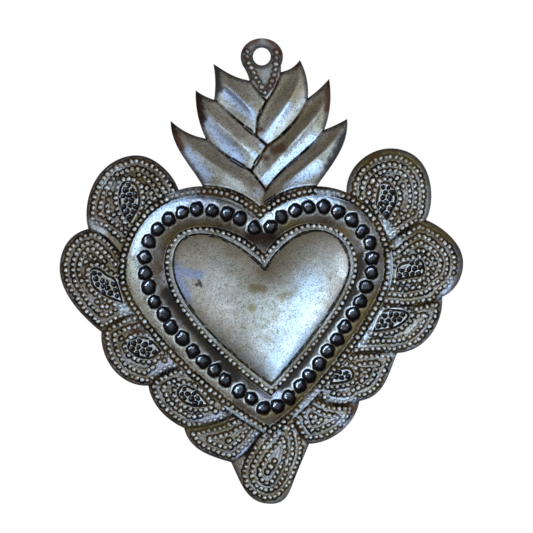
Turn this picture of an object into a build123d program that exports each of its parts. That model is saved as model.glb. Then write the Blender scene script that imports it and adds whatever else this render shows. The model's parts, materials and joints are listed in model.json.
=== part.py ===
from build123d import *
import math
import os
from dataclasses import astuple, dataclass, replace

# A heart ornament of tinplate, cut and chased by hand, divided along the lines chased into its sheet.
# Lengths are millimetres and angles are degrees.
# Outline points are (across, up) from the centre of the eyelet's hole, as the ornament hangs.
# A rise is how far the front of the sheet stands out from the flat border towards the viewer.

# Sheet
sheet_thickness = 0.4

# Rises
rim_rise = 2.2
trough_rise = 0.8
dome_height = 3.8
petal_crown = 0.9
leaf_ridge_height = 1.7

# Rims
inner_rim_width = 2.3
outer_rim_width = 2.4

# Beads and dents
bead_radius = 0.6
bead_height = 0.45
bead_pitch = 1.45
dent_radius = 1.75
dent_depth = 0.8
dent_pitch = 3.9
dent_margin = 0.1
dent_notch_gap = 3.2
dent_tip_gap = 2.2

# Eyelet
hole_radius = 2.3
eyelet_band = 3.2
eyelet_left_angle = 205
eyelet_right_angle = -25
eyelet_row_left_angle = 205
eyelet_row_right_angle = 17


@dataclass(frozen=True)
class HeartHalf:
    """One half of a heart line: its widest point, and its curve at the notch, the side and the tip."""

    side: tuple
    notch_angle: float
    notch_pull: float
    lobe_pull: float
    flank_pull: float
    tip_angle: float
    tip_pull: float

    def blended(self, other, share):
        """A half part of the way from this one to another."""
        pairs = zip(astuple(self), astuple(other))
        return HeartHalf(*[mixed(here, there, share) for here, there in pairs])


@dataclass(frozen=True)
class HeartLine:
    """A heart-shaped line between its notch and its tip."""

    notch: tuple
    tip: tuple
    left: HeartHalf
    right: HeartHalf

    def grown(self, distance):
        """The same line moved outwards by a distance, or inwards by a negative one."""
        notch_slope = math.radians((self.left.notch_angle + self.right.notch_angle) / 2)
        tip_slope = math.radians((self.left.tip_angle + self.right.tip_angle) / 2)
        return HeartLine(
            notch=(self.notch[0], self.notch[1] + distance / math.cos(notch_slope)),
            tip=(self.tip[0], self.tip[1] - distance / math.cos(tip_slope)),
            left=self.grown_half(self.left, distance, -1),
            right=self.grown_half(self.right, distance, 1),
        )

    def grown_half(self, half, distance, direction):
        """One half moved outwards, with pulls that follow its width, notch and tip."""
        width = abs(half.side[0] - self.notch[0])
        growth = 1 + distance / width
        notch_shift = distance * math.tan(math.radians(half.notch_angle))
        tip_shift = distance * math.tan(math.radians(half.tip_angle))
        return replace(
            half,
            side=(half.side[0] + direction * distance, half.side[1]),
            notch_pull=half.notch_pull * growth - notch_shift,
            lobe_pull=half.lobe_pull * growth,
            flank_pull=half.flank_pull * growth,
            tip_pull=half.tip_pull * growth + tip_shift,
        )

    def blended(self, other, share):
        """A line part of the way from this one to another."""
        return HeartLine(
            notch=mixed(self.notch, other.notch, share),
            tip=mixed(self.tip, other.tip, share),
            left=self.left.blended(other.left, share),
            right=self.right.blended(other.right, share),
        )

    def half_edges(self, half, direction, rise):
        """The lobe and the flank of one half, from the notch to the tip."""
        notch = front(self.notch, rise)
        side = front(half.side, rise)
        tip = front(self.tip, rise)
        lobe = Bezier(
            notch,
            notch + heading(half.notch_angle, direction) * half.notch_pull,
            side + Vector(0, half.lobe_pull, 0),
            side,
        )
        flank = Bezier(
            side,
            side - Vector(0, half.flank_pull, 0),
            tip + heading(half.tip_angle, direction) * half.tip_pull,
            tip,
        )
        return [lobe, flank]

    def halves(self, rise):
        """The left and right halves as wires that run from the notch to the tip."""
        left = self.half_edges(self.left, -1, rise)
        right = self.half_edges(self.right, 1, rise)
        return {"left": Wire(left), "right": Wire(right)}

    def edges(self, rise):
        """The four edges of the whole line, in order round it."""
        return self.half_edges(self.left, -1, rise) + self.half_edges(self.right, 1, rise)[::-1]

    def face(self, rise):
        """The flat area inside the line."""
        return Face(Wire(self.edges(rise)))


@dataclass(frozen=True)
class Divider:
    """A line chased between two petals, from their valley through a bow to its foot on the rim."""

    valley: tuple
    bow: tuple
    half: str
    foot_share: float


@dataclass(frozen=True)
class Leaf:
    """A flame leaf: its ridge from tip to foot, and the lines that bound it above and below the ridge."""

    ridge: tuple
    foot_rise: float
    upper: tuple
    lower: tuple


# Heart lines
dome_line = HeartLine(
    notch=(0.8, -55.2),
    tip=(2.4, -85.2),
    left=HeartHalf((-23.0, -54.1), 48, 13.2, 12.6, 9.7, 36, 15.1),
    right=HeartHalf((22.7, -54.6), 60, 17.5, 10.4, 6.7, 46, 11.2),
)
dent_line = HeartLine(
    notch=(0.1, -46.9),
    tip=(2.3, -92.3),
    left=HeartHalf((-30.6, -53.5), 48, 17.5, 13.1, 13.7, 32, 17.7),
    right=HeartHalf((28.7, -52.8), 55, 18.6, 11.5, 10.8, 37, 13.8),
)
rim_line = HeartLine(
    notch=(-0.5, -39.4),
    tip=(2.1, -98.6),
    left=HeartHalf((-37.4, -57.0), 42, 18.7, 20.6, 10.4, 26, 15.9),
    right=HeartHalf((34.0, -55.5), 42, 17.2, 21.0, 9.7, 33, 15.2),
)
inner_rim_edge = dome_line.grown(inner_rim_width)
inner_bead_line = dome_line.grown(inner_rim_width / 2)
trough_floor_half = dent_radius + dent_margin
floor_inner_edge = dent_line.grown(-trough_floor_half)
floor_outer_edge = dent_line.grown(trough_floor_half)
trough_edge = rim_line.grown(-outer_rim_width)
outer_bead_line = rim_line.grown(-outer_rim_width / 2)

# The dome rounds off from its heart-shaped edge to a level round crest
crest_centre = (0.5, -62.5)
crest_radius = 2.0
dome_steps = 5

# Pull of a curve that follows a quarter circle, as a share of its radius
circle_pull = 4 / 3 * (math.sqrt(2) - 1)

# Where the petals and the flame end on the rim, as shares of each half's length from the notch
left_shoulder = 0.204
right_shoulder = 0.232
left_flame_end = 0.147
right_flame_end = 0.156
stretch_steps = 3

# What is left of the rim's rise at the first point of an end petal's cut edge
shoulder_fall = 1 / 3

# Petals, in order round the heart from the left shoulder to the right one
dividers = [
    Divider((-45.1, -44.8), (-40.2, -47.2), "left", 0.415),
    Divider((-41.7, -71.6), (-38.2, -69.0), "left", 0.569),
    Divider((-29.5, -85.6), (-25.7, -82.5), "left", 0.733),
    Divider((-20.2, -96.6), (-14.2, -95.8), "left", 0.904),
    Divider((-8.0, -105.5), (-3.1, -101.8), "left", 0.978),
    Divider((12.3, -100.7), (9.9, -98.1), "right", 0.926),
    Divider((25.4, -89.5), (20.3, -90.6), "right", 0.848),
    Divider((35.2, -77.1), (28.7, -76.8), "right", 0.711),
    Divider((46.9, -62.5), (39.1, -64.8), "right", 0.561),
    Divider((42.7, -42.5), (38.0, -44.8), "right", 0.403),
]
scallops = {
    "petal_left_1": [(-25.2, -29.2), (-31.4, -25.8), (-40.0, -28.4), (-45.2, -37.3)],
    "petal_left_2": [(-51.4, -49.8), (-52.5, -56.0), (-48.6, -64.8)],
    "petal_left_3": [(-40.2, -78.9), (-36.6, -83.3)],
    "petal_left_4": [(-28.0, -89.8), (-24.4, -94.0)],
    "petal_left_5": [(-16.1, -102.3), (-10.3, -104.8)],
    "petal_bottom": [(-4.4, -112.7), (2.4, -116.3), (8.1, -110.9)],
    "petal_right_5": [(19.0, -98.6), (23.2, -94.7)],
    "petal_right_4": [(31.3, -85.9), (33.6, -81.2)],
    "petal_right_3": [(42.2, -74.2), (45.6, -69.5)],
    "petal_right_2": [(51.8, -57.0), (52.1, -51.8), (48.9, -46.6)],
    "petal_right_1": [(26.8, -26.1), (33.1, -23.9), (40.1, -26.1), (44.0, -34.7)],
}

# Flame: corners where its cut edge and its chased lines meet
tab_left = (-3.2, -6.2)
tab_right = (5.0, -4.0)
tab_foot = (1.2, -11.5)
tab_waist = (-4.1, -3.8)
tab_row_left = [(-1.9, -4.5), (0.7, -9.2)]
tab_row_right = [(3.4, -4.0), (2.0, -7.7)]
notch_left_upper = (-12.4, -11.2)
notch_left_lower = (-14.6, -21.3)
notch_right_upper = (12.0, -10.8)
notch_right_lower = (16.3, -19.0)
weave_1 = (-1.0, -16.0)
weave_2 = (-1.5, -20.6)
weave_3 = (-0.1, -21.9)
weave_4 = (1.4, -23.2)
weave_5 = (-0.7, -26.4)
weave_6 = (-2.8, -29.7)
weave_7 = (-0.9, -32.2)
weave_8 = (1.1, -34.7)
weave_9 = (0.3, -37.0)
tip_left_top = (-12.6, -1.9)
tip_left_middle = (-17.2, -8.8)
tip_left_low = (-23.7, -16.7)
tip_right_top = (9.9, -0.9)
tip_right_middle = (17.5, -5.8)
tip_right_low = (22.2, -16.2)
stem_rise = rim_rise / 2

# Flame: cut edges and chased lines that lie level with the flat border
flame_paths = {
    "left_top_edge": [tip_left_top, (-9.8, -3.7), (-6.7, -5.3), tab_left],
    "left_top_side": [tip_left_top, (-12.1, -6.8), notch_left_upper],
    "left_middle_edge": [tip_left_middle, (-15.0, -10.2), notch_left_upper],
    "left_middle_side": [tip_left_middle, (-16.7, -15.0), notch_left_lower],
    "left_low_edge": [tip_left_low, (-18.9, -20.0), notch_left_lower],
    "right_top_edge": [tip_right_top, (7.4, -3.2), tab_right],
    "right_top_side": [tip_right_top, (11.6, -5.4), notch_right_upper],
    "right_middle_edge": [tip_right_middle, (15.0, -8.4), notch_right_upper],
    "right_middle_side": [tip_right_middle, (17.8, -12.2), notch_right_lower],
    "right_low_edge": [tip_right_low, (19.4, -17.7), notch_right_lower],
    "tab_left_line": [tab_left, (-1.0, -9.2), tab_foot],
    "tab_right_line": [tab_right, (3.7, -7.6), tab_foot],
    "cross_1": [tab_foot, weave_1],
    "cross_2": [weave_1, weave_2],
    "left_upper_line": [notch_left_upper, (-8.3, -14.9), weave_2],
    "cross_3": [weave_2, weave_3],
    "cross_4": [weave_3, weave_4],
    "right_upper_line": [notch_right_upper, (10.0, -14.7), (6.4, -19.2), weave_4],
    "cross_5": [weave_4, weave_5],
    "cross_6": [weave_5, weave_6],
    "left_lower_line": [notch_left_lower, (-9.3, -25.7), weave_6],
    "cross_7": [weave_6, weave_7],
    "cross_8": [weave_7, weave_8],
    "right_lower_line": [notch_right_lower, (12.5, -23.3), (7.1, -28.1), weave_8],
}

# Flame: points of the low leaves' cut sides, which climb from their tips to the rim
low_side_left = [tip_left_low, (-21.8, -23.8), (-17.4, -30.5)]
low_side_right = [tip_right_low, (21.1, -23.0), (17.2, -29.7)]

# Flame: leaves
leaves = {
    "leaf_left_top": Leaf(
        (tip_left_top, (-10.3, -6.6), (-7.0, -10.0), (-3.4, -13.6), weave_1),
        0,
        ("left_top_edge", "tab_left_line", "cross_1"),
        ("left_top_side", "left_upper_line", "cross_2"),
    ),
    "leaf_right_top": Leaf(
        (tip_right_top, (9.2, -7.4), (6.6, -12.6), (3.4, -16.9), weave_3),
        0,
        ("right_top_edge", "tab_right_line", "cross_1", "cross_2", "cross_3"),
        ("right_top_side", "right_upper_line", "cross_4"),
    ),
    "leaf_left_middle": Leaf(
        (tip_left_middle, (-14.0, -14.4), (-8.8, -19.9), (-4.6, -23.7), weave_5),
        0,
        ("left_middle_edge", "left_upper_line", "cross_3", "cross_4", "cross_5"),
        ("left_middle_side", "left_lower_line", "cross_6"),
    ),
    "leaf_right_middle": Leaf(
        (tip_right_middle, (15.7, -13.4), (11.2, -19.1), (5.8, -25.2), weave_7),
        0,
        ("right_middle_edge", "right_upper_line", "cross_5", "cross_6", "cross_7"),
        ("right_middle_side", "right_lower_line", "cross_8"),
    ),
    "leaf_left_low": Leaf(
        (tip_left_low, (-18.7, -22.8), (-12.2, -28.0), (-5.7, -32.2), weave_9),
        stem_rise,
        ("left_low_edge", "left_lower_line", "cross_7", "cross_8", "stem_upper"),
        ("left_low_side", "left_base", "stem_lower"),
    ),
    "leaf_right_low": Leaf(
        (tip_right_low, (19.0, -21.2), (14.6, -25.6), (9.4, -30.0), weave_9),
        stem_rise,
        ("right_low_edge", "right_lower_line", "stem_upper"),
        ("right_low_side", "right_base", "stem_lower"),
    ),
}


def mixed(here, there, share):
    """A number or a point part of the way from one to another."""
    if isinstance(here, tuple):
        return tuple(mixed(a, b, share) for a, b in zip(here, there))
    return here + (there - here) * share


def round_line(centre, radius):
    """A circle as a line with a notch, a tip and two sides."""
    across, up = centre
    pull = radius * circle_pull
    half = HeartHalf(centre, 0, pull, pull, pull, 0, pull)
    return HeartLine(
        notch=(across, up + radius),
        tip=(across, up - radius),
        left=replace(half, side=(across - radius, up)),
        right=replace(half, side=(across + radius, up)),
    )


def front(point, rise=0.0):
    """A point on the front of the sheet, at a rise over the flat border."""
    return Vector(point[0], point[1], rise + sheet_thickness / 2)


def heading(angle, direction):
    """A unit step at an angle above level, to the left or to the right."""
    slope = math.radians(angle)
    return Vector(direction * math.cos(slope), math.sin(slope), 0)


def curve(points, start_rise=0.0, end_rise=0.0, swell=0.0):
    """A smooth line on the front of the sheet, whose rise runs evenly from end to end and swells between."""
    last = len(points) - 1
    placed = []
    for index, point in enumerate(points):
        along = index / last
        rise = start_rise + (end_rise - start_rise) * along + swell * math.sin(math.pi * along)
        placed.append(front(point, rise))
    if last == 1:
        return Line(*placed)
    return Spline(*placed)


def filled(boundary):
    """A smooth face inside a loop of edges, which are given in any order."""
    waiting = list(boundary)
    ordered = [waiting.pop(0)]
    end = ordered[0] @ 1
    while waiting:
        following = min(waiting, key=lambda edge: min(abs(edge @ 0 - end), abs(edge @ 1 - end)))
        waiting.remove(following)
        ordered.append(following)
        end = following @ 1 if abs(following @ 0 - end) < abs(following @ 1 - end) else following @ 0
    return Face.make_surface(ordered)


def spaced(path, pitch, lead=0.0, tail=0.0):
    """Points along a path at about one pitch, between a lead and a tail left free."""
    span = path.length - lead - tail
    steps = max(1, round(span / pitch))
    return [path.position_at((lead + span * step / steps) / path.length) for step in range(steps + 1)]


def pressed(faces):
    """A piece of sheet: its front faces carried straight back through the sheet's thickness."""
    layers = [Solid.extrude(face, (0, 0, -sheet_thickness)) for face in faces]
    if len(layers) == 1:
        return layers[0]
    return layers[0].fuse(*layers[1:])


def boss(radius, height):
    """A round cap on a plane, with a plug that reaches half the sheet's thickness under it."""
    ball = (radius**2 + height**2) / (2 * height)
    plug = sheet_thickness / 2
    floor_angle = math.degrees(math.asin((ball - height - plug) / ball))
    return Pos(0, 0, height - ball) * Sphere(ball, arc_size1=floor_angle, align=None)


def beaded(piece, points):
    """Raise a bead at each point of the piece's front, hollow behind."""
    bead = boss(bead_radius, bead_height)
    raised = [Pos(point) * bead for point in points]
    hollows = [Pos(point - Vector(0, 0, sheet_thickness)) * bead for point in points]
    return piece.fuse(*raised).cut(*hollows)


def dented(piece, points):
    """Punch a dent at each point of the piece's front, bulging behind."""
    dent = Rot(180, 0, 0) * boss(dent_radius, dent_depth)
    bulges = [Pos(point - Vector(0, 0, sheet_thickness)) * dent for point in points]
    hollows = [Pos(point) * dent for point in points]
    return piece.fuse(*bulges).cut(*hollows)


def bead_row(line, rise):
    """Bead points all round a heart line, with one bead at its notch and one at its tip."""
    halves = line.halves(rise)
    return spaced(halves["left"], bead_pitch) + spaced(halves["right"], bead_pitch)[1:-1]


def heart_dome():
    """The smooth puffed heart, lofted from its edge to its crest."""
    crest_line = round_line(crest_centre, crest_radius)
    sections = []
    for step in range(dome_steps + 1):
        share = step / dome_steps
        rise = rim_rise + dome_height * (1 - (1 - share) ** 2)
        sections.append(Wire(dome_line.blended(crest_line, share).edges(rise)))
    faces = Solid.make_loft(sections).faces()
    return pressed([face for face in faces if face.center().Z > rim_rise + sheet_thickness])


def flat_rim(outer_face, inner_face, bead_line):
    """A level rim between an outer and an inner face, with its bead row."""
    band = outer_face - inner_face
    return beaded(pressed(band.faces()), bead_row(bead_line, rim_rise))


def dented_trough():
    """The sunk band between the rims: a level floor of dents and two sloping walls."""
    floor = floor_outer_edge.face(trough_rise) - floor_inner_edge.face(trough_rise)
    faces = list(floor.faces())
    for rim, foot in ((inner_rim_edge, floor_inner_edge), (trough_edge, floor_outer_edge)):
        for top, bottom in zip(rim.edges(rim_rise), foot.edges(trough_rise)):
            faces.append(Face.make_surface_from_curves(top, bottom))
    points = []
    for half in dent_line.halves(trough_rise).values():
        points += spaced(half, dent_pitch, dent_notch_gap, dent_tip_gap)
    return dented(pressed(faces), points)


def rim_stretch(half, start_share, end_share):
    """The rim's outer line between two shares of one half, as one edge."""
    path = rim_line.halves(rim_rise)[half]
    shares = [mixed(start_share, end_share, step / stretch_steps) for step in range(stretch_steps + 1)]
    forwards = math.copysign(1, end_share - start_share)
    tangents = [path.tangent_at(share) * forwards for share in (start_share, end_share)]
    return Spline(*[path.position_at(share) for share in shares], tangents=tangents)


def rim_face():
    """The flat area inside the rim's outer line, whose edges end where its neighbours end."""
    shares = {"left": [0, left_flame_end, left_shoulder, 1], "right": [0, right_flame_end, right_shoulder, 1]}
    for divider in dividers:
        shares[divider.half].append(divider.foot_share)
    edges = []
    for half, ends in shares.items():
        ends.sort()
        edges += [rim_stretch(half, start, end) for start, end in zip(ends, ends[1:])]
    return Face(Wire(edges))


def rim_point(half, share):
    """A point on the rim's outer line as (across, up)."""
    place = rim_line.halves(rim_rise)[half].position_at(share)
    return (place.X, place.Y)


def divider_edge(divider):
    """The chased line of a divider, climbing from its valley to the rim."""
    foot = rim_point(divider.half, divider.foot_share)
    return curve([divider.valley, divider.bow, foot], 0, rim_rise)


def shoulder_outline(shoulder, points, valley):
    """The cut edge of an end petal, which drops from the rim's shoulder to the flat border."""
    drop = [front(shoulder, rim_rise), front(points[0], rim_rise * shoulder_fall)]
    return Spline(*drop, *[front(point) for point in points[1:]], front(valley))


def crowned(outline, base, sides):
    """A face between a cut edge and the rim, raised along its middle, whose sides are lines or a corner."""
    ends = [side.position_at(0.5) if isinstance(side, Edge) else side for side in sides]
    middle = (outline.position_at(0.5) + base.position_at(0.5)) / 2
    crown = Spline(ends[0], middle + Vector(0, 0, petal_crown), ends[1])
    return Face.make_gordon_surface([outline, crown, base], sides)


def end_petal(half, shoulder_share, points, divider):
    """The petal between a shoulder of the rim and its first dividing line."""
    shoulder = rim_point(half, shoulder_share)
    outline = shoulder_outline(shoulder, points, divider.valley)
    base = rim_stretch(half, shoulder_share, divider.foot_share)
    return pressed([crowned(outline, base, [outline @ 0, divider_edge(divider)])])


def side_petal(before, points, after):
    """A petal between two dividing lines on one half of the heart."""
    outline = curve([before.valley, *points, after.valley])
    base = rim_stretch(before.half, before.foot_share, after.foot_share)
    return pressed([crowned(outline, base, [divider_edge(before), divider_edge(after)])])


def bottom_petal(before, points, after):
    """The petal under the heart's tip, in two halves that meet on its middle line."""
    middle = len(points) // 2
    lowest = points[middle]
    spine = curve([lowest, rim_line.tip], 0, rim_rise)
    faces = []
    for divider, outer, direction in ((before, points[:middle], 1), (after, points[:middle:-1], -1)):
        path = [front(point) for point in (divider.valley, *outer, lowest)]
        outline = Spline(*path, tangents=[path[1] - path[0], Vector(direction, 0, 0)])
        base = rim_stretch(divider.half, divider.foot_share, 1)
        faces.append(crowned(outline, base, [divider_edge(divider), spine]))
    return pressed(faces)


def petals():
    """The eleven petals round the heart."""
    made = {
        "petal_left_1": end_petal("left", left_shoulder, scallops["petal_left_1"], dividers[0]),
        "petal_right_1": end_petal("right", right_shoulder, scallops["petal_right_1"], dividers[-1]),
    }
    between = [name for name in scallops if name not in made]
    for name, before, after in zip(between, dividers, dividers[1:]):
        shape = side_petal if before.half == after.half else bottom_petal
        made[name] = shape(before, scallops[name], after)
    return made


def flame_lines():
    """The cut edges and chased lines of the flame, by name."""
    left_end = rim_point("left", left_flame_end)
    right_end = rim_point("right", right_flame_end)
    return {
        **{name: curve(path) for name, path in flame_paths.items()},
        "left_low_side": curve([*low_side_left, left_end], 0, rim_rise),
        "right_low_side": curve([*low_side_right, right_end], 0, rim_rise),
        "stem_upper": curve([weave_8, weave_9], 0, stem_rise),
        "stem_lower": curve([weave_9, rim_line.notch], stem_rise, rim_rise),
        "left_base": rim_stretch("left", 0, left_flame_end),
        "right_base": rim_stretch("right", 0, right_flame_end),
    }


def flame_leaf(leaf, lines):
    """One leaf of the flame: two faces that meet along its ridge."""
    ridge = curve(leaf.ridge, 0, leaf.foot_rise, leaf_ridge_height)
    faces = []
    for names in (leaf.upper, leaf.lower):
        faces.append(filled([ridge, *[lines[name] for name in names]]))
    return pressed(faces)


def hanging_eyelet(lines):
    """The tab at the top: a ring round the hole, narrowing to a point between the flame's top leaves."""
    radius = hole_radius + eyelet_band
    centre = front((0, 0))
    ring = Edge.make_circle(
        radius,
        Plane(centre),
        start_angle=eyelet_right_angle,
        end_angle=eyelet_left_angle,
    )
    left_side = Spline(ring @ 1, front(tab_waist), front(tab_left))
    right_side = Line(ring @ 0, front(tab_right))
    foot_lines = [lines["tab_left_line"], lines["tab_right_line"]]
    plate = pressed([Face(Wire([ring, left_side, right_side, *foot_lines]))])
    plate -= Cylinder(hole_radius, 2 * sheet_thickness)
    row_radius = hole_radius + eyelet_band / 2
    points = []
    for angle, path in ((eyelet_row_left_angle, tab_row_left), (eyelet_row_right_angle, tab_row_right)):
        top = centre + Vector(row_radius, 0, 0).rotate(Axis.Z, angle)
        points += spaced(Spline(top, *[front(point) for point in path]), bead_pitch)
    return beaded(plate, points)


lines = flame_lines()
pieces = {
    "heart_dome": heart_dome(),
    "inner_bead_rim": flat_rim(inner_rim_edge.face(rim_rise), dome_line.face(rim_rise), inner_bead_line),
    "dented_trough": dented_trough(),
    "outer_bead_rim": flat_rim(rim_face(), trough_edge.face(rim_rise), outer_bead_line),
    **petals(),
    **{name: flame_leaf(leaf, lines) for name, leaf in leaves.items()},
    "hanging_eyelet": hanging_eyelet(lines),
}

os.makedirs("parts", exist_ok=True)
for name, piece in pieces.items():
    export_step(Plane.XZ * piece, f"parts/{name}.step")
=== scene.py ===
"""Looks of a hanging tin heart ornament, chased by hand, around its construction model.

Flat places are (across, up) and surfaces are (across, up, rise), in millimetres, where rise is how far the
front of the sheet stands out towards the viewer. Finished pieces are in metres.
"""

import json
import logging
import math
from dataclasses import asdict, dataclass, field, replace
from enum import Enum
from functools import reduce
from typing import Any, Iterable, Sequence

import bpy
import numpy as np
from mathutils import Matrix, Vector
from mathutils.bvhtree import BVHTree
from mathutils.geometry import delaunay_2d_cdt
from mathutils.kdtree import KDTree
from mathutils.noise import noise

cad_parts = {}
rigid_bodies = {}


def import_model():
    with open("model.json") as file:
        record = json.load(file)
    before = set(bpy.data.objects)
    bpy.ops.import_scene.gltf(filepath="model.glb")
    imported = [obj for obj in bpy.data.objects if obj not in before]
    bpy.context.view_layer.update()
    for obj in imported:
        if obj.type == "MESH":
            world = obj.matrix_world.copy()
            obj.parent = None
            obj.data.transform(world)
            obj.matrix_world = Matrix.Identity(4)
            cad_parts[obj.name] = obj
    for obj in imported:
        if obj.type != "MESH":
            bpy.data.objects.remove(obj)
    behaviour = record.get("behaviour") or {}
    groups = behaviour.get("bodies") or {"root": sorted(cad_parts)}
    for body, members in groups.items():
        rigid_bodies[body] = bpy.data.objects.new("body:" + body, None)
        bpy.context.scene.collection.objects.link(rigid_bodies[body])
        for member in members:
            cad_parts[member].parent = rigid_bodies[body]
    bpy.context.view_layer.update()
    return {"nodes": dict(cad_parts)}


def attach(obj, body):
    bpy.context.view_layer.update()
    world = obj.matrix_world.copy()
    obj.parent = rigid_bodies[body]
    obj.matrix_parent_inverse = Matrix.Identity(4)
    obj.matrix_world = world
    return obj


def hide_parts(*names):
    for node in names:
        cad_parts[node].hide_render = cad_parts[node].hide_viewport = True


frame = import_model()

log = logging.getLogger("tin_heart")

MM = 0.001
BODY = "root"
SHEET_THICKNESS = 0.4
# Keeps the across and up parts of a place.
FLAT = (1.0, 0.0, 1.0)
# Where the groove beside a row of beads runs, in rows.
GROOVE_PLACE = -0.36

Colour = tuple[float, float, float]
Place = tuple[float, float]


class Mark(str, Enum):
    """Names of what is stored at the points of a sheet's mesh."""

    RISE = "rise"
    LINE = "line"
    EDGE = "edge"
    ROW = "row"
    TEAR = "tear"
    BEAD = "bead"
    SHADE = "shade"
    DENT = "dent"
    SLANT = "slant"
    ALONG = "along"
    ACROSS = "across"
    BACK = "back"


class Meeting(Enum):
    """What a stretch of a piece's outline meets."""

    CUT = "cut edge"
    LINE = "chased line"
    RIM = "foot on the outer rim"


class Wire:
    """One socket of a node tree, whose operators add Math nodes."""

    def __init__(self, graph: "Graph", socket: bpy.types.NodeSocket) -> None:
        """Wrap an output socket of a graph."""
        self.graph = graph
        self.socket = socket

    def maths(self, operation: str, *others: "Wire | float", clamp: bool = False) -> "Wire":
        """Add one Math node.

        Args:
            operation: The Math node's operation.
            others: The second and third values.
            clamp: Whether the result is kept from 0 to 1.

        Returns:
            The node's result.
        """
        settings = {"operation": operation, "use_clamp": clamp}
        return self.graph.node("ShaderNodeMath", settings, dict(enumerate((self, *others))))

    def __add__(self, other: "Wire | float") -> "Wire":
        """Sum."""
        return self.maths("ADD", other)

    def __sub__(self, other: "Wire | float") -> "Wire":
        """Difference."""
        return self.maths("SUBTRACT", other)

    def __mul__(self, other: "Wire | float") -> "Wire":
        """Product."""
        return self.maths("MULTIPLY", other)

    def __truediv__(self, other: "Wire | float") -> "Wire":
        """Quotient."""
        return self.maths("DIVIDE", other)

    def __rsub__(self, other: float) -> "Wire":
        """Difference from a number."""
        return self.graph.node("ShaderNodeMath", {"operation": "SUBTRACT"}, {0: other, 1: self})

    __radd__ = __add__
    __rmul__ = __mul__

    def clamped(self) -> "Wire":
        """The value kept from 0 to 1."""
        return self.maths("ADD", 0.0, clamp=True)

    def ramp(self, low: float, high: float) -> "Wire":
        """A smooth step from 0 at low to 1 at high."""
        sockets = {"Value": self, "From Min": low, "From Max": high}
        return self.graph.node("ShaderNodeMapRange", {"interpolation_type": "SMOOTHSTEP"}, sockets)

    def peak(self, centre: float, reach: float) -> "Wire":
        """A value that is 1 at a centre and falls to 0 at a reach on either side."""
        return (1 - ((self - centre) / reach).maths("ABSOLUTE")).clamped()

    def output(self, name: str) -> "Wire":
        """Another output of the same node."""
        return Wire(self.graph, self.socket.node.outputs[name])


class Graph:
    """A node tree that is built by code."""

    def __init__(self, tree: bpy.types.NodeTree) -> None:
        """Start from an empty tree."""
        self.tree = tree
        tree.nodes.clear()

    def node(self, kind: str, settings: dict[str, Any] | None = None, sockets: dict | None = None) -> Wire:
        """Add a node of any type.

        Args:
            kind: The node's type name.
            settings: Properties of the node, set first.
            sockets: Values or wires by input name or number; a list of wires joins them all.

        Returns:
            The node's first output that is in use.
        """
        node = self.tree.nodes.new(kind)
        for key, value in (settings or {}).items():
            setattr(node, key, value)
        for key, value in (sockets or {}).items():
            self.feed(self.entry(node, key), value)
        shown = [socket for socket in node.outputs if socket.enabled]
        return Wire(self, shown[0]) if shown else Wire(self, None)

    def entry(self, node: bpy.types.Node, key: str | int) -> bpy.types.NodeSocket:
        """The input of a node with a number, or the one in use with a name."""
        if isinstance(key, int):
            return node.inputs[key]
        return next(socket for socket in node.inputs if socket.enabled and key == socket.name)

    def feed(self, socket: bpy.types.NodeSocket, value: Any) -> None:
        """Link wires to an input, or set its own value."""
        for part in value if isinstance(value, list) else [value]:
            if isinstance(part, Wire):
                self.tree.links.new(part.socket, socket)
            else:
                socket.default_value = part

    def mixed(self, share: Wire | float, below: Any, above: Any) -> Wire:
        """A colour part of the way from one to another."""
        below, above = ((*colour, 1.0) if isinstance(colour, tuple) else colour for colour in (below, above))
        return self.node("ShaderNodeMix", {"data_type": "RGBA"}, {"Factor": share, "A": below, "B": above})

    def vector(self, operation: str, *values: Any, **named: Any) -> Wire:
        """Vector maths on numbered inputs, and on named ones such as Scale."""
        sockets = {**dict(enumerate(values)), **named}
        return self.node("ShaderNodeVectorMath", {"operation": operation}, sockets)

    def noise(self, place: Wire, scale: float, detail: float = 2.0, roughness: float = 0.5) -> Wire:
        """Soft noise at a place, about 0.5 on average."""
        sockets = {"Vector": place, "Scale": scale, "Detail": detail, "Roughness": roughness}
        return self.node("ShaderNodeTexNoise", {}, sockets)


def loops_of(triangles: np.ndarray) -> list[list[int]]:
    """The boundary loops of a set of triangles that are all wound the same way.

    Args:
        triangles: Vertex numbers, three for each triangle.

    Returns:
        The loops as lists of vertex numbers, each in order.
    """
    sides = np.concatenate([triangles[:, [0, 1]], triangles[:, [1, 2]], triangles[:, [2, 0]]])
    present = {(int(a), int(b)) for a, b in sides}
    following: dict[int, list[int]] = {}
    for start, end in present:
        if (end, start) not in present:
            following.setdefault(start, []).append(end)
    loops = []
    while following:
        start = min(following)
        loop = [start]
        while loop[-1] in following:
            ends = following[loop[-1]]
            loop.append(ends.pop())
            if not ends:
                del following[loop[-2]]
        loops.append(loop[:-1])
    return loops


def area_of(loop: np.ndarray) -> float:
    """The flat area inside a closed loop, positive when it runs anticlockwise."""
    ahead = np.roll(loop, -1, axis=0)
    return float((loop[:, 0] * ahead[:, 1] - ahead[:, 0] * loop[:, 1]).sum() / 2)


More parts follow.
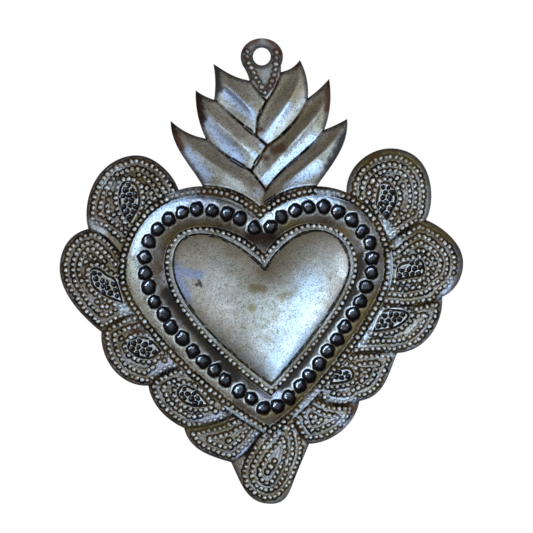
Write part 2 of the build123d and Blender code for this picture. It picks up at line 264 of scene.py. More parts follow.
@dataclass(frozen=True)
class Front:
    """The front of one construction node."""

    points: np.ndarray
    triangles: np.ndarray
    loops: list[np.ndarray]

    @classmethod
    def of(cls, node: str) -> "Front":
        """Read the faces of a node that look at the viewer.

        Args:
            node: The node's name.

        Returns:
            Its front, as (across, up, rise).
        """
        mesh = frame["nodes"][node].data
        mesh.calc_loop_triangles()
        places = np.empty(len(mesh.vertices) * 3, np.float32)
        mesh.vertices.foreach_get("co", places)
        corners = np.empty(len(mesh.loop_triangles) * 3, np.int32)
        mesh.loop_triangles.foreach_get("vertices", corners)
        merge_step = 1e-4
        grid = np.round(places.reshape(-1, 3).astype(float) / MM / merge_step).astype(np.int64)
        merged, where = np.unique(grid, axis=0, return_inverse=True)
        points = (merged * merge_step)[:, [0, 2, 1]] * (1, 1, -1)
        triangles = where.reshape(-1)[corners.reshape(-1, 3)]
        first, second, third = (points[triangles[:, side]] for side in range(3))
        normals = np.cross(second - first, third - first)
        lengths = np.linalg.norm(normals, axis=1)
        least_facing, tiny = 0.05, 1e-12
        facing = normals[:, 2] > least_facing * np.maximum(lengths, tiny)
        triangles = triangles[facing & (lengths > tiny)]
        loops = [points[loop] for loop in loops_of(triangles)]
        sliver = 1.0
        return cls(points, triangles, [loop for loop in loops if abs(area_of(loop)) > sliver])

    def surface(self) -> BVHTree:
        """A tree for measuring the front."""
        return BVHTree.FromPolygons(self.points.tolist(), self.triangles.tolist())

    def level(self) -> float:
        """The rise of the outline, where it is level."""
        return float(np.median(np.concatenate(self.loops)[:, 2]))

    def poles(self, rise: float) -> np.ndarray:
        """Places of the points of the front at a rise, such as the tops of its beads."""
        reach = 0.004
        used = np.unique(self.triangles)
        found = self.points[used][np.abs(self.points[used, 2] - rise) < reach]
        apart = 0.5
        kept: list[np.ndarray] = []
        for place in found[:, :2]:
            if all(np.hypot(*(place - other)) > apart for other in kept):
                kept.append(place)
        return np.array(kept).reshape(-1, 2)

    def rises(self) -> np.ndarray:
        """The rises of the points in use."""
        return self.points[np.unique(self.triangles), 2]


def resampled(loop: np.ndarray, spacing: float) -> np.ndarray:
    """A closed loop with points at about one spacing, and its corners kept.

    Args:
        loop: Points in order, without the first one repeated.
        spacing: Distance between points.

    Returns:
        The new points in order.
    """
    sharp = math.radians(28)
    ahead = np.roll(loop, -1, axis=0) - loop
    angle = np.arctan2(ahead[:, 1], ahead[:, 0])
    turn = np.abs((angle - np.roll(angle, 1) + math.pi) % (2 * math.pi) - math.pi)
    corners = np.flatnonzero(turn > sharp)
    if len(corners) == 0:
        corners = np.array([0])
    turned = np.roll(loop, -corners[0], axis=0)
    ends = [*(corners - corners[0]), len(loop)]
    closed = np.concatenate([turned, turned[:1]])
    made = []
    for start, end in zip(ends, ends[1:]):
        made.append(spread(closed[start:end + 1], spacing)[:-1])
    return np.concatenate(made)


def spread(path: np.ndarray, spacing: float) -> np.ndarray:
    """Points along an open path at about one spacing, with both its ends."""
    steps = np.hypot(*np.diff(path[:, :2], axis=0).T)
    along = np.concatenate([[0], np.cumsum(steps)])
    count = max(1, round(along[-1] / spacing))
    wanted = np.linspace(0, along[-1], count + 1)
    return np.stack([np.interp(wanted, along, path[:, axis]) for axis in range(path.shape[1])], axis=1)


def nearest(places: np.ndarray, others: np.ndarray, margins: np.ndarray | float = 0.0) -> np.ndarray:
    """Distance from each place to the nearest of some others, less a margin of that other.

    Args:
        places: Flat places.
        others: Flat places to measure to.
        margins: One margin for each of the others, or one for all.

    Returns:
        One distance for each place.
    """
    batch = 4000
    far = 1e3
    if len(others) == 0:
        return np.full(len(places), far)
    found = []
    for start in range(0, len(places), batch):
        gaps = places[start:start + batch, None, :] - others[None, :, :]
        found.append((np.sqrt((gaps ** 2).sum(axis=2)) - margins).min(axis=1))
    return np.concatenate(found)


def inside(places: np.ndarray, outline: np.ndarray) -> np.ndarray:
    """Which places lie inside a closed outline."""
    here, there = outline, np.roll(outline, -1, axis=0)
    within = np.zeros(len(places), bool)
    for (ax, ay), (bx, by) in zip(here, there):
        crossing = (ay > places[:, 1]) != (by > places[:, 1])
        slope = (bx - ax) / (by - ay) if by != ay else 0.0
        within ^= crossing & (places[:, 0] < ax + slope * (places[:, 1] - ay))
    return within


def inner_points(front: Front, rim: np.ndarray, spacing: float) -> np.ndarray:
    """Points of a staggered grid on a front, clear of its rim.

    Args:
        front: The front to measure.
        rim: Points of its outline.
        spacing: Distance between points.

    Returns:
        The points, as (across, up, rise).
    """
    surface = front.surface()
    tree = KDTree(len(rim))
    for number, point in enumerate(rim):
        tree.insert((point[0], point[1], 0), number)
    tree.balance()
    low, high = rim[:, :2].min(axis=0), rim[:, :2].max(axis=0)
    row_step = spacing * math.sqrt(3) / 2
    clear = 0.6 * spacing
    above, down = 100.0, Vector((0, 0, -1))
    found = []
    for row in range(int((high[1] - low[1]) / row_step) + 1):
        up = low[1] + row * row_step
        for column in range(int((high[0] - low[0]) / spacing) + 1):
            across = low[0] + (column + row % 2 / 2) * spacing
            hit = surface.ray_cast(Vector((across, up, above)), down)[0]
            if hit is not None and tree.find((across, up, 0))[2] > clear:
                found.append((across, up, hit.z))
    return np.array(found).reshape(-1, 3)


def meshed(points: np.ndarray, rims: list[np.ndarray]) -> tuple[np.ndarray, np.ndarray, np.ndarray]:
    """Triangles between points, none of them outside the rims.

    Args:
        points: The rims' points, loop by loop, and then the inner ones.
        rims: The rims' points, one array for each loop.

    Returns:
        Flat places of the mesh, the point that each comes from, and the triangles, wound anticlockwise.
    """
    sides = []
    first = 0
    for ring in rims:
        numbers = list(range(first, first + len(ring)))
        sides += list(zip(numbers, numbers[1:] + numbers[:1]))
        first += len(ring)
    whole_hull, tolerance = 0, 1e-6
    flat = [Vector(place) for place in points[:, :2]]
    places, _, faces, sources, _, _ = delaunay_2d_cdt(flat, sides, [], whole_hull, tolerance)
    origins = np.array([source[0] for source in sources])
    made = np.array([tuple(place) for place in places])
    triangles = np.array(faces)
    bridging = np.flatnonzero((origins[triangles] < first).all(axis=1))
    within = np.zeros(len(bridging), bool)
    for ring in rims:
        within ^= inside(made[triangles[bridging]].mean(axis=1), ring[:, :2])
    triangles = np.delete(triangles, bridging[~within], axis=0)
    corners = made[triangles]
    turn = np.cross(corners[:, 1] - corners[:, 0], corners[:, 2] - corners[:, 0])
    triangles[turn < 0] = triangles[turn < 0][:, ::-1]
    return made, origins, triangles


def summed(sides: np.ndarray, values: np.ndarray) -> np.ndarray:
    """The sum of the values of each point's neighbours along a mesh's edges."""
    count = len(values)
    ahead = np.bincount(sides[:, 0], values[sides[:, 1]], count)
    return ahead + np.bincount(sides[:, 1], values[sides[:, 0]], count)


@dataclass
class Sheet:
    """A piece of flat sheet as a fine triangle mesh, with a rise at each of its points."""

    places: np.ndarray
    rise: np.ndarray
    triangles: np.ndarray
    outline: np.ndarray
    marks: dict[Mark, np.ndarray] = field(default_factory=dict)

    @classmethod
    def cut(cls, front: Front, spacing: float) -> "Sheet":
        """Cut a sheet to a front's outline and raise it to the front's surface.

        Args:
            front: The front to follow.
            spacing: Distance between mesh points.

        Returns:
            The sheet.
        """
        rims = [resampled(loop, spacing) for loop in front.loops]
        rim = np.concatenate(rims)
        points = np.concatenate([rim, inner_points(front, rim, spacing)])
        made, origins, triangles = meshed(points, rims)
        return cls(made, points[origins, 2], triangles, rim)

    def sides(self) -> np.ndarray:
        """The mesh's edges, each once."""
        ends = np.concatenate([self.triangles[:, pair] for pair in ([0, 1], [1, 2], [2, 0])])
        return np.unique(np.sort(ends, axis=1), axis=0)

    def free(self) -> np.ndarray:
        """Which points are not on the outline."""
        touching = 1e-4
        return nearest(self.places, self.outline[:, :2]) > touching

    def eased(self, passes: int) -> None:
        """Smooth the rises between the outline's.

        Args:
            passes: How many times each point moves half way to its neighbours' average.
        """
        sides, free = self.sides(), self.free()
        around = np.bincount(sides.ravel(), minlength=len(self.places))
        for _ in range(passes):
            self.rise = np.where(free, (self.rise + summed(sides, self.rise) / around) / 2, self.rise)

    def puffed(self, fullness: float) -> np.ndarray:
        """The shape of a skin blown up inside the outline.

        Args:
            fullness: Power of the skin's height; less than 1 is fuller near the outline.

        Returns:
            A share of the full height at each point, 0 on the outline and 1 at the crest.
        """
        sides, free = self.sides(), self.free()
        count = len(self.places)
        around = np.bincount(sides.ravel(), minlength=count)

        def pull(heights: np.ndarray) -> np.ndarray:
            """How hard each free point is pulled towards its neighbours."""
            return np.where(free, around * heights - summed(sides, heights), 0.0)

        heights = np.zeros(count)
        left = free.astype(float)
        step = left.copy()
        size = left @ left
        solver_steps, close = 600, 1e-8
        for _ in range(solver_steps):
            pulled = pull(step)
            along = size / (step @ pulled)
            heights += along * step
            left = left - along * pulled
            grown = left @ left
            if grown < close:
                break
            step = left + grown / size * step
            size = grown
        return np.maximum(heights / heights.max(), 0) ** fullness

    def mesh(self, name: str) -> bpy.types.Mesh:
        """A flat mesh in metres, with the rise and the marks stored on its points."""
        mesh = bpy.data.meshes.new(name)
        points = np.zeros((len(self.places), 3))
        points[:, [0, 2]] = self.places * MM
        mesh.from_pydata(points.tolist(), [], self.triangles.tolist())
        mesh.polygons.foreach_set("use_smooth", [True] * len(mesh.polygons))
        for mark, values in {Mark.RISE: self.rise, **self.marks}.items():
            layer = mesh.attributes.new(mark.value, "FLOAT", "POINT")
            layer.data.foreach_set("value", values.astype(np.float32))
        return mesh


@dataclass
class Tools:
    """Where the punches strike a sheet: paths of beads, single beads and dents."""

    rows: list[np.ndarray] = field(default_factory=list)
    beads: list[Place] = field(default_factory=list)
    dents: list[Place] = field(default_factory=list)

    def row_object(self) -> bpy.types.Object:
        """The paths of beads as a curve."""
        curve = bpy.data.curves.new("bead_rows", "CURVE")
        curve.dimensions = "3D"
        for row in self.rows:
            spline = curve.splines.new("POLY")
            spline.points.add(len(row) - 1)
            for point, (across, up) in zip(spline.points, row):
                point.co = (across * MM, 0, up * MM, 1)
        return bpy.data.objects.new("bead_rows", curve)

    def point_object(self, name: str, places: Iterable[Place]) -> bpy.types.Object:
        """Single places as the points of a mesh."""
        mesh = bpy.data.meshes.new(name)
        mesh.from_pydata([(across * MM, 0, up * MM) for across, up in places], [], [])
        return bpy.data.objects.new(name, mesh)


@dataclass(frozen=True)
class Chasing:
    """Sizes of the punches and of the tracing tool, in millimetres."""

    bead_radius: float = 0.58
    bead_height: float = 0.42
    bead_pitch: float = 1.5
    bead_wander: float = 0.12
    dent_radius: float = 1.7
    dent_depth: float = 0.85
    dent_wander: float = 0.1
    line_width: float = 0.28
    line_depth: float = 0.3
    groove_depth: float = 0.1
    unevenness: float = 0.1
    seed: int = 1


class ChasingTree:
    """The node tree that strikes a flat sheet with beads, dents and lines, and gives it its thickness."""

    INPUTS = {
        "Bead Rows": "NodeSocketObject",
        "Beads": "NodeSocketObject",
        "Dents": "NodeSocketObject",
        "Bead Radius": "NodeSocketFloat",
        "Bead Height": "NodeSocketFloat",
        "Bead Pitch": "NodeSocketFloat",
        "Bead Wander": "NodeSocketFloat",
        "Dent Radius": "NodeSocketFloat",
        "Dent Depth": "NodeSocketFloat",
        "Dent Wander": "NodeSocketFloat",
        "Line Width": "NodeSocketFloat",
        "Line Depth": "NodeSocketFloat",
        "Groove Depth": "NodeSocketFloat",
        "Unevenness": "NodeSocketFloat",
        "Thickness": "NodeSocketFloat",
        "Seed": "NodeSocketInt",
        "Finish": "NodeSocketMaterial",
    }

    def __init__(self) -> None:
        """Build the tree."""
        self.tree = bpy.data.node_groups.new("chasing", "GeometryNodeTree")
        self.graph = Graph(self.tree)
        face = self.tree.interface
        face.new_socket("Geometry", in_out="INPUT", socket_type="NodeSocketGeometry")
        for name, kind in self.INPUTS.items():
            face.new_socket(name, in_out="INPUT", socket_type=kind)
        face.new_socket("Geometry", in_out="OUTPUT", socket_type="NodeSocketGeometry")
        self.entries = self.graph.node("NodeGroupInput")
        self.place = self.graph.node("GeometryNodeInputPosition")
        self.place_mm = self.graph.vector("SCALE", self.place, Scale=1 / MM)
        self.graph.node("NodeGroupOutput", {}, {"Geometry": self.finished()})

    def given(self, name: str) -> Wire:
        """One of the tree's inputs."""
        return self.entries.output(name)

    def mark(self, mark: Mark) -> Wire:
        """A mark that the sheet already carries, in millimetres or rows."""
        settings = {"data_type": "FLOAT"}
        return self.graph.node("GeometryNodeInputNamedAttribute", settings, {"Name": mark.value})

    def strikes(self, sources: Sequence[str], wander: str, offset: int) -> Wire:
        """Points where a punch strikes, each a little off its mark.

        Args:
            sources: Inputs that hold the punch's places.
            wander: Input that holds how far a strike strays.
            offset: Added to the seed.

        Returns:
            The points.
        """
        graph = self.graph
        found = []
        for source in sources:
            held = graph.node("GeometryNodeObjectInfo", {}, {"Object": self.given(source)}).output("Geometry")
            if source == "Bead Rows":
                sockets = {"Curve": held, "Length": self.given("Bead Pitch") * MM}
                found.append(graph.node("GeometryNodeCurveToPoints", {"mode": "LENGTH"}, sockets))
            else:
                found.append(graph.node("GeometryNodeMeshToPoints", {}, {"Mesh": held}))
        points = graph.node("GeometryNodeJoinGeometry", {}, {"Geometry": found})
        reach = self.given(wander) * MM
        limits = {}
        for name, side in (("Min", -1.0), ("Max", 1.0)):
            limits[name] = graph.node("ShaderNodeCombineXYZ", {}, {"X": reach * side, "Z": reach * side})
        drawn = {**limits, "Seed": self.given("Seed") + offset}
        stray = graph.node("FunctionNodeRandomValue", {"data_type": "FLOAT_VECTOR"}, drawn)
        return graph.node("GeometryNodeSetPosition", {}, {"Geometry": points, "Offset": stray})

    def away(self, points: Wire, radius: str, least: float, ragged: float) -> tuple[Wire, Wire, Wire]:
        """Distance from the nearest strike, as a share of that strike's own radius.

        Args:
            points: The strikes.
            radius: Input that holds the punch's radius.
            least: Smallest size of a strike, as a share of the punch's.
            ragged: How far the strike's outline wavers, in millimetres.

        Returns:
            The distance, or a large one if nothing strikes the sheet, the strike's own chance value, and how
            far up and left of the strike the place is.
        """
        graph = self.graph
        steepness = 0.35
        waver = graph.noise(self.place_mm, steepness / ragged).output("Color")
        shift = graph.vector("MULTIPLY_ADD", waver, (2 * ragged * MM,) * 3, (-ragged * MM,) * 3)
        place = graph.vector("ADD", self.place, graph.vector("MULTIPLY", shift, FLAT))
        sockets = {"Geometry": points, "Sample Position": place}
        near = graph.node("GeometryNodeProximity", {"target_element": "POINTS"}, sockets)
        chance = graph.node("ShaderNodeTexWhiteNoise", {}, {"Vector": near})
        reach = self.given(radius) * MM * (chance * (1 - least) + least)
        none, far = 1 - near.output("Is Valid"), 100.0
        up_left = (-math.sqrt(0.5), 0.0, math.sqrt(0.5))
        slant = graph.vector("DOT_PRODUCT", graph.vector("SUBTRACT", place, near), up_left).output("Value")
        return near.output("Distance") / reach + none * far, chance, slant / reach

    def finished(self) -> Wire:
        """The struck sheet, thick and closed."""
        graph = self.graph
        beads = self.strikes(("Bead Rows", "Beads"), "Bead Wander", 0)
        dents = self.strikes(("Dents",), "Dent Wander", 1)
        bead_away, shade, _ = self.away(beads, "Bead Radius", least=0.72, ragged=0.3)
        dent_away, _, slant = self.away(dents, "Dent Radius", least=0.86, ragged=0.8)
        dent_steepness, dent_tilt = 3.4, 0.2
        bead = (1 - bead_away * bead_away).clamped()
        dent = (1 - dent_away.maths("POWER", dent_steepness)).clamped() * (1 - slant * dent_tilt)
        off_line = self.mark(Mark.LINE) / self.given("Line Width")
        line = (off_line * off_line * -1).maths("EXPONENT")
        groove = self.mark(Mark.ROW).peak(GROOVE_PLACE, 0.2) * (1 - bead)
        ridge = self.mark(Mark.TEAR).maths("ABSOLUTE").peak(0.48, 0.25) * (1 - bead)
        uneven = graph.noise(self.place_mm, 0.16, 2.0) - 0.5
        ring_depth, ridge_height, lip_height = 0.08, 0.08, 0.1
        ring = bead_away.peak(1.15, 0.4) * ring_depth
        raised = bead * self.given("Bead Height") - ring + ridge * ridge_height
        sunk = dent * self.given("Dent Depth") - dent_away.peak(1.12, 0.2) * lip_height
        traced = line * self.given("Line Depth") + groove * self.given("Groove Depth")
        rise = self.mark(Mark.RISE) + raised - sunk - traced + uneven * self.given("Unevenness") * 2
        depth = graph.node("ShaderNodeCombineXYZ", {}, {"Y": rise * -MM})
        shape = self.given("Geometry")
        largest = 4.0
        stored = ((Mark.BEAD, bead_away), (Mark.SHADE, shade), (Mark.DENT, dent_away), (Mark.SLANT, slant))
        for mark, value in stored:
            sockets = {"Geometry": shape, "Name": mark.value, "Value": value.maths("MINIMUM", largest)}
            shape = graph.node("GeometryNodeStoreNamedAttribute", {"data_type": "FLOAT"}, sockets)
        front = graph.node("GeometryNodeSetPosition", {}, {"Geometry": shape, "Offset": depth})
        return self.thick(front)

    def thick(self, front: Wire) -> Wire:
        """A front carried straight back through the sheet, with cut sides and the finish."""
        graph = self.graph
        back = graph.node("ShaderNodeCombineXYZ", {}, {"Y": self.given("Thickness") * MM})
        turned = graph.node("GeometryNodeFlipFaces", {}, {"Mesh": front})
        sockets = {"Mesh": turned, "Offset": back, "Offset Scale": 1.0, "Individual": False}
        body = graph.node("GeometryNodeExtrudeMesh", {"mode": "FACES"}, sockets)
        behind = {"Geometry": body, "Selection": body.output("Top"), "Name": Mark.BACK.value, "Value": 1.0}
        marked = graph.node("GeometryNodeStoreNamedAttribute", {"data_type": "FLOAT"}, behind)
        sides = {"Geometry": marked, "Selection": body.output("Side"), "Shade Smooth": False}
        body = graph.node("GeometryNodeSetShadeSmooth", {}, sides)
        whole = graph.node("GeometryNodeJoinGeometry", {}, {"Geometry": [front, body]})
        seam = 1e-7
        closed = graph.node("GeometryNodeMergeByDistance", {}, {"Geometry": whole, "Distance": seam})
        real = graph.node("GeometryNodeRealizeInstances", {}, {"Geometry": closed})
        return graph.node("GeometryNodeSetMaterial", {}, {"Geometry": real, "Material": self.given("Finish")})

    def struck(self, name: str, sheet: Sheet, tools: Tools, chasing: Chasing,
               finish: bpy.types.Material) -> bpy.types.Object:
        """Strike a sheet and turn the result into a plain mesh object.

        Args:
            name: Name of the new piece.
            sheet: The flat sheet.
            tools: Where the punches strike.
            chasing: Sizes of the punches.
            finish: Material of the piece.

        Returns:
            The finished piece.
        """
        scene = bpy.context.scene.collection.objects
        blank = bpy.data.objects.new("blank", sheet.mesh("blank"))
        helpers = [blank, tools.row_object(), tools.point_object("beads", tools.beads),
                   tools.point_object("dents", tools.dents)]
        for helper in helpers:
            scene.link(helper)
        values = {
            "Bead Rows": helpers[1],
            "Beads": helpers[2],
            "Dents": helpers[3],
            "Thickness": SHEET_THICKNESS,
            "Finish": finish,
            **{key.replace("_", " ").title(): size for key, size in asdict(chasing).items()},
        }
        modifier = blank.modifiers.new("chasing", "NODES")
        modifier.node_group = self.tree
        for item in self.tree.interface.items_tree:
            if item.in_out == "INPUT" and item.name in values:
                modifier[item.identifier] = values[item.name]
        depsgraph = bpy.context.evaluated_depsgraph_get()
        mesh = bpy.data.meshes.new_from_object(
            blank.evaluated_get(depsgraph), preserve_all_data_layers=True, depsgraph=depsgraph)
        blank.modifiers.remove(modifier)
        for helper in helpers:
            bpy.data.objects.remove(helper)
        mesh.name = name
        piece = bpy.data.objects.new(name, mesh)
        scene.link(piece)
        return piece


@dataclass(frozen=True)
class Stroke:
    """A short flat line on the ornament's front, or a single place, and how far a patch of colour reaches
    from it.
    """

    reach: float
    start: Place
    end: Place | None = None

    def cover(self, graph: Graph, flat: Wire, uneven: Wire) -> Wire:
        """How far each place lies within the stroke's ragged reach.

        Args:
            graph: The material's graph.
            flat: The place in millimetres, without its rise.
            uneven: Noise that makes the patch's edge ragged.

        Returns:
            A value from 0 outside to 1 well inside.
        """
        start = np.array((self.start[0], 0.0, self.start[1]))
        closest: Any = tuple(start)
        if self.end:
            run = np.array((self.end[0], 0.0, self.end[1])) - start
            pace = run / (run @ run)
            passed = graph.vector("DOT_PRODUCT", flat, tuple(pace)).output("Value")
            share = passed.maths("SUBTRACT", float(start @ pace), clamp=True)
            closest = graph.vector("MULTIPLY_ADD", tuple(run), share, tuple(start))
        gap = graph.vector("DISTANCE", flat, closest).output("Value")
        solid, faded, raggedness = 0.2, 1.1, 2.2
        return 1 - (gap / self.reach + (uneven - 0.5) * raggedness).ramp(solid, faded)


@dataclass(frozen=True)
class StainAndLightPatch:
    """A colour laid along some strokes; some are rust, soot and tarnish that have come up, and some are
    painted light and shade.
    """

    colour: Colour
    strokes: tuple[Stroke, ...]
    share: float = 0.8
    soiling: float = 0.0
    clearing: float = 0.0

    def cover(self, graph: Graph, flat: Wire, uneven: Wire) -> Wire:
        """How much of each place the patch covers, with the arguments of a stroke's cover."""
        covers = [stroke.cover(graph, flat, uneven) for stroke in self.strokes]
        return reduce(lambda one, other: one.maths("MAXIMUM", other), covers) * self.share


@dataclass(frozen=True)
class TinFinish:
    """Aged tinplate: dull warm metal, bluish bare patches with painted sheen, painted shade, dark patina in
    what is sunk, specks and rust.
    """

    name: str
    bright: Colour = (0.40, 0.39, 0.38)
    tarnish: Colour = (0.22, 0.185, 0.13)
    olive: Colour = (0.25, 0.20, 0.09)
    lilac: Colour = (0.40, 0.40, 0.48)
    # bead tops: wear laid pale, with their highlight painted in
    worn: Colour = (0.96, 0.87, 0.765)
    tan: Colour = (0.56, 0.43, 0.31)
    pale: Colour = (0.95, 0.96, 1.0)
    glint: Colour = (0.74, 0.77, 0.88)
    speck: Colour = (0.055, 0.048, 0.038)
    patina: Colour = (0.006, 0.005, 0.005)
    umber: Colour = (0.065, 0.037, 0.012)
    soot: Colour = (0.010, 0.009, 0.012)
    cup: Colour = (0.085, 0.079, 0.094)
    edge: Colour = (0.042, 0.034, 0.038)
    roughness: float = 0.36
    speckle: float = 0.6
    streaks: float = 0.0
    line_width: float = 0.2
    line_fade: float = 2.6
    stroke: float = 3.2
    grime: float = 1.35
    # share of the painted glints inside the dents
    rubbing: float = 1.0
    tinting: float = 0.25
    tanning: float = 0.5
    ringing: float = 1.0
    doubling: float = 0.28
    stains: tuple[StainAndLightPatch, ...] = ()

    def material(self) -> bpy.types.Material:
        """The finish as a material."""
        material = bpy.data.materials.new(self.name)
        material.use_nodes = True
        TinShader(self, material.node_tree).join()
        return material


class TinShader:
    """The node tree of one finish, laid on in layers from the bare metal to the wear and painted glints laid
    last.

    Each pair is where a layer starts and where it is full, in noise, in shares of a strike's radius or of a
    row, or in millimetres.
    """

    DULL = (0.34, 0.68)
    OLIVE = (0.52, 0.66)
    LILAC = (0.36, 0.48)
    STREAK = (0.45, 0.70)
    PIT = (0.05, 0.17)
    PITTED = (0.42, 0.60)
    SPECK = (0.50, 0.66)
    BORDER = (0.30, 1.60)
    BEAD_SIDE = (0.60, 1.00)
    BEAD_WEAR = (0.00, 0.80)
    BEAD_TAN = (0.42, 0.60)
    BEAD_PALE = (0.60, 0.80)
    BEAD_FOOT = (0.78, 1.00)
    BEAD_HOLLOW = (0.20, 0.85)
    ROW_SIDE = (0.10, 0.30)
    DRAWN_LINE = (0.14, 0.32)
    DRAWN_GAP = (0.25, 0.40)
    STROKE_END = (0.01, 0.07)
    UMBER = (0.40, 0.60)
    DENT_SIDE = (0.95, 1.08)
    DENT_FLOOR = (0.36, 0.66)
    FLOOR_WEAR = (0.36, 0.64)
    DENT_BACK = (0.10, 0.70)
    LIP_SIDE = (0.00, 0.70)
    LIP_PATCH = (0.37, 0.52)
    RUB_SIDE = (0.20, 0.40)

    def __init__(self, finish: TinFinish, tree: bpy.types.NodeTree) -> None:
        """Start from bright metal, with the place, the noises and the marks that the layers share."""
        self.finish = finish
        self.colour: Wire | Colour = finish.bright
        self.graph = graph = Graph(tree)
        own = graph.node("ShaderNodeTexCoord").output("Object")
        self.place = graph.vector("SCALE", own, Scale=1 / MM)
        self.cloud = graph.noise(self.place, 0.12, 5.0, 0.62)
        self.tint = graph.noise(self.place, 0.33, 3.0, 0.6)
        self.mottle = graph.noise(self.place, 0.8, 3.0, 0.6)
        self.grain = graph.noise(self.place, 2.6, 2.0, 0.65)
        self.mottled, self.grained = self.mottle - 0.5, self.grain - 0.5
        streaks_across, streaks_along = 2.4, 0.22
        brushed = {"X": self.mark(Mark.ACROSS) * streaks_across, "Y": self.mark(Mark.ALONG) * streaks_along}
        self.streak = graph.noise(graph.node("ShaderNodeCombineXYZ", {}, brushed), 1.0, 3.0, 0.65)
        self.ragged = self.mottle * 0.6 + self.grain * 0.4 + (self.streak - 0.5) * finish.streaks * 0.5
        self.bead, self.shade = self.mark(Mark.BEAD), self.mark(Mark.SHADE)
        self.dent, self.slant = self.mark(Mark.DENT), self.mark(Mark.SLANT)
        self.row, self.edge = self.mark(Mark.ROW), self.mark(Mark.EDGE)
        self.tear = self.mark(Mark.TEAR).maths("ABSOLUTE")
        self.back = self.mark(Mark.BACK)
        self.front = 1 - self.back

    def mark(self, kind: Mark) -> Wire:
        """A mark stored on the mesh."""
        return self.graph.node("ShaderNodeAttribute", {"attribute_name": kind.value}).output("Fac")

    def lay(self, share: Wire, colour: Wire | Colour) -> None:
        """Lay a colour over what is there, as densely as its share."""
        self.colour = self.graph.mixed(share, self.colour, colour)

    def metal(self) -> Wire:
        """Lay dull metal, olive and lilac tints and brush streaks.

        Returns:
            How dull each place is.
        """
        finish = self.finish
        dull = (self.cloud + self.mottled * 0.5).ramp(*self.DULL)
        self.lay(dull, finish.tarnish)
        self.lay(self.tint.ramp(*self.OLIVE) * finish.tinting, finish.olive)
        self.lay((1 - self.tint.ramp(*self.LILAC)) * finish.tinting, finish.lilac)
        self.lay(self.streak.ramp(*self.STREAK) * finish.streaks, finish.tarnish)
        return dull

    def stained(self) -> tuple[Wire | float, list[tuple[Wire, Colour]]]:
        """Lay the colour patches, fainter on the back, and then pits, specks and the cut edge's dark band of
        tarnish and painted shade.

        Returns:
            How much of the later dirt is kept, and the covers and colours of the patches that lie over dirt.
        """
        finish, graph = self.finish, self.graph
        pits_to_mm, back_fading, edge_shade_share = 0.55, 0.75, 0.85
        flat = graph.vector("MULTIPLY", self.place, FLAT)
        shown = 1 - self.back * back_fading
        covers = [(coloured_patch, coloured_patch.cover(graph, flat, self.ragged) * shown) for coloured_patch in finish.stains]
        for coloured_patch, cover in covers:
            self.lay(cover, coloured_patch.colour)
        pits = graph.node("ShaderNodeTexVoronoi", {}, {"Vector": self.place, "Scale": pits_to_mm})
        pitted = (1 - (pits + self.grained * 0.3).ramp(*self.PIT)) * self.mottle.ramp(*self.PITTED)
        self.lay(pitted * finish.speckle, finish.patina)
        self.lay(self.grain.ramp(*self.SPECK) * finish.speckle, finish.speck)
        # dark band along the cut edge: partly tarnish, partly painted shade
        edge_shade = 1 - (self.edge + self.mottled * 1.6).ramp(*self.BORDER)
        self.lay(edge_shade * edge_shade_share, finish.edge)
        kept = 1 - sum(cover * coloured_patch.clearing for coloured_patch, cover in covers if coloured_patch.clearing)
        return kept, [(cover * coloured_patch.soiling, coloured_patch.colour) for coloured_patch, cover in covers if coloured_patch.soiling]

    def beaded(self, kept: Wire | float) -> tuple[Wire, Wire]:
        """Lay pale metal on the bead tops, wear with a painted highlight, and on the ridge along a teardrop's
        line.

        Args:
            kept: How much of the dirt, and of the beads' contrast, is kept.

        Returns:
            How much of each place is a bead's pale top, and how much is the ridge.
        """
        finish, graph = self.finish, self.graph
        least_wear, least_kept, ridge_share = 0.22, 0.35, 0.6
        wear = self.shade.ramp(*self.BEAD_WEAR) * (1 - least_wear) + least_wear
        # painted highlight: bead tops are pale and less metallic, wear and highlight in one
        top = (1 - self.bead.ramp(*self.BEAD_SIDE)) * wear
        top = top * (least_kept + kept * (1 - least_kept)) * self.front
        tanned = (self.tint + (self.shade - 0.5) * 0.3).ramp(*self.BEAD_TAN) * finish.tanning
        polished = graph.mixed(tanned, finish.worn, finish.tan)
        self.lay(top, graph.mixed(self.shade.ramp(*self.BEAD_PALE), polished, finish.pale))
        ridge = self.tear.peak(0.5, 0.22)
        self.lay(ridge * self.front * ridge_share, finish.pale)
        return top, ridge

    def traced(self) -> Wire:
        """Dark strokes of the tracing tool along the chased lines, some doubled, with gaps between them.

        Returns:
            How dark each place is, from 0 to 1.
        """
        finish, graph = self.finish, self.graph
        cells = {"Vector": self.place, "Scale": 1 / finish.stroke}
        ends = graph.node("ShaderNodeTexVoronoi", {"feature": "DISTANCE_TO_EDGE"}, cells)
        chance = graph.node("ShaderNodeTexVoronoi", {}, cells).output("Color")
        doubled = graph.node("ShaderNodeSeparateColor", {}, {"Color": chance})
        doubled = doubled.ramp(1 - finish.doubling, 1.08 - finish.doubling)
        off_line = self.mark(Mark.LINE) + self.grained * 0.2
        off_stroke = (off_line - doubled * finish.line_width * 1.25).maths("ABSOLUTE") / (1 - doubled * 0.35)
        strokes = 1 - off_stroke.ramp(finish.line_width * 0.75, finish.line_width * 1.5)
        unbroken = ends.ramp(*self.STROKE_END) * 0.8 + 0.2
        return strokes * unbroken * self.edge.ramp(finish.line_fade * 0.55, finish.line_fade)

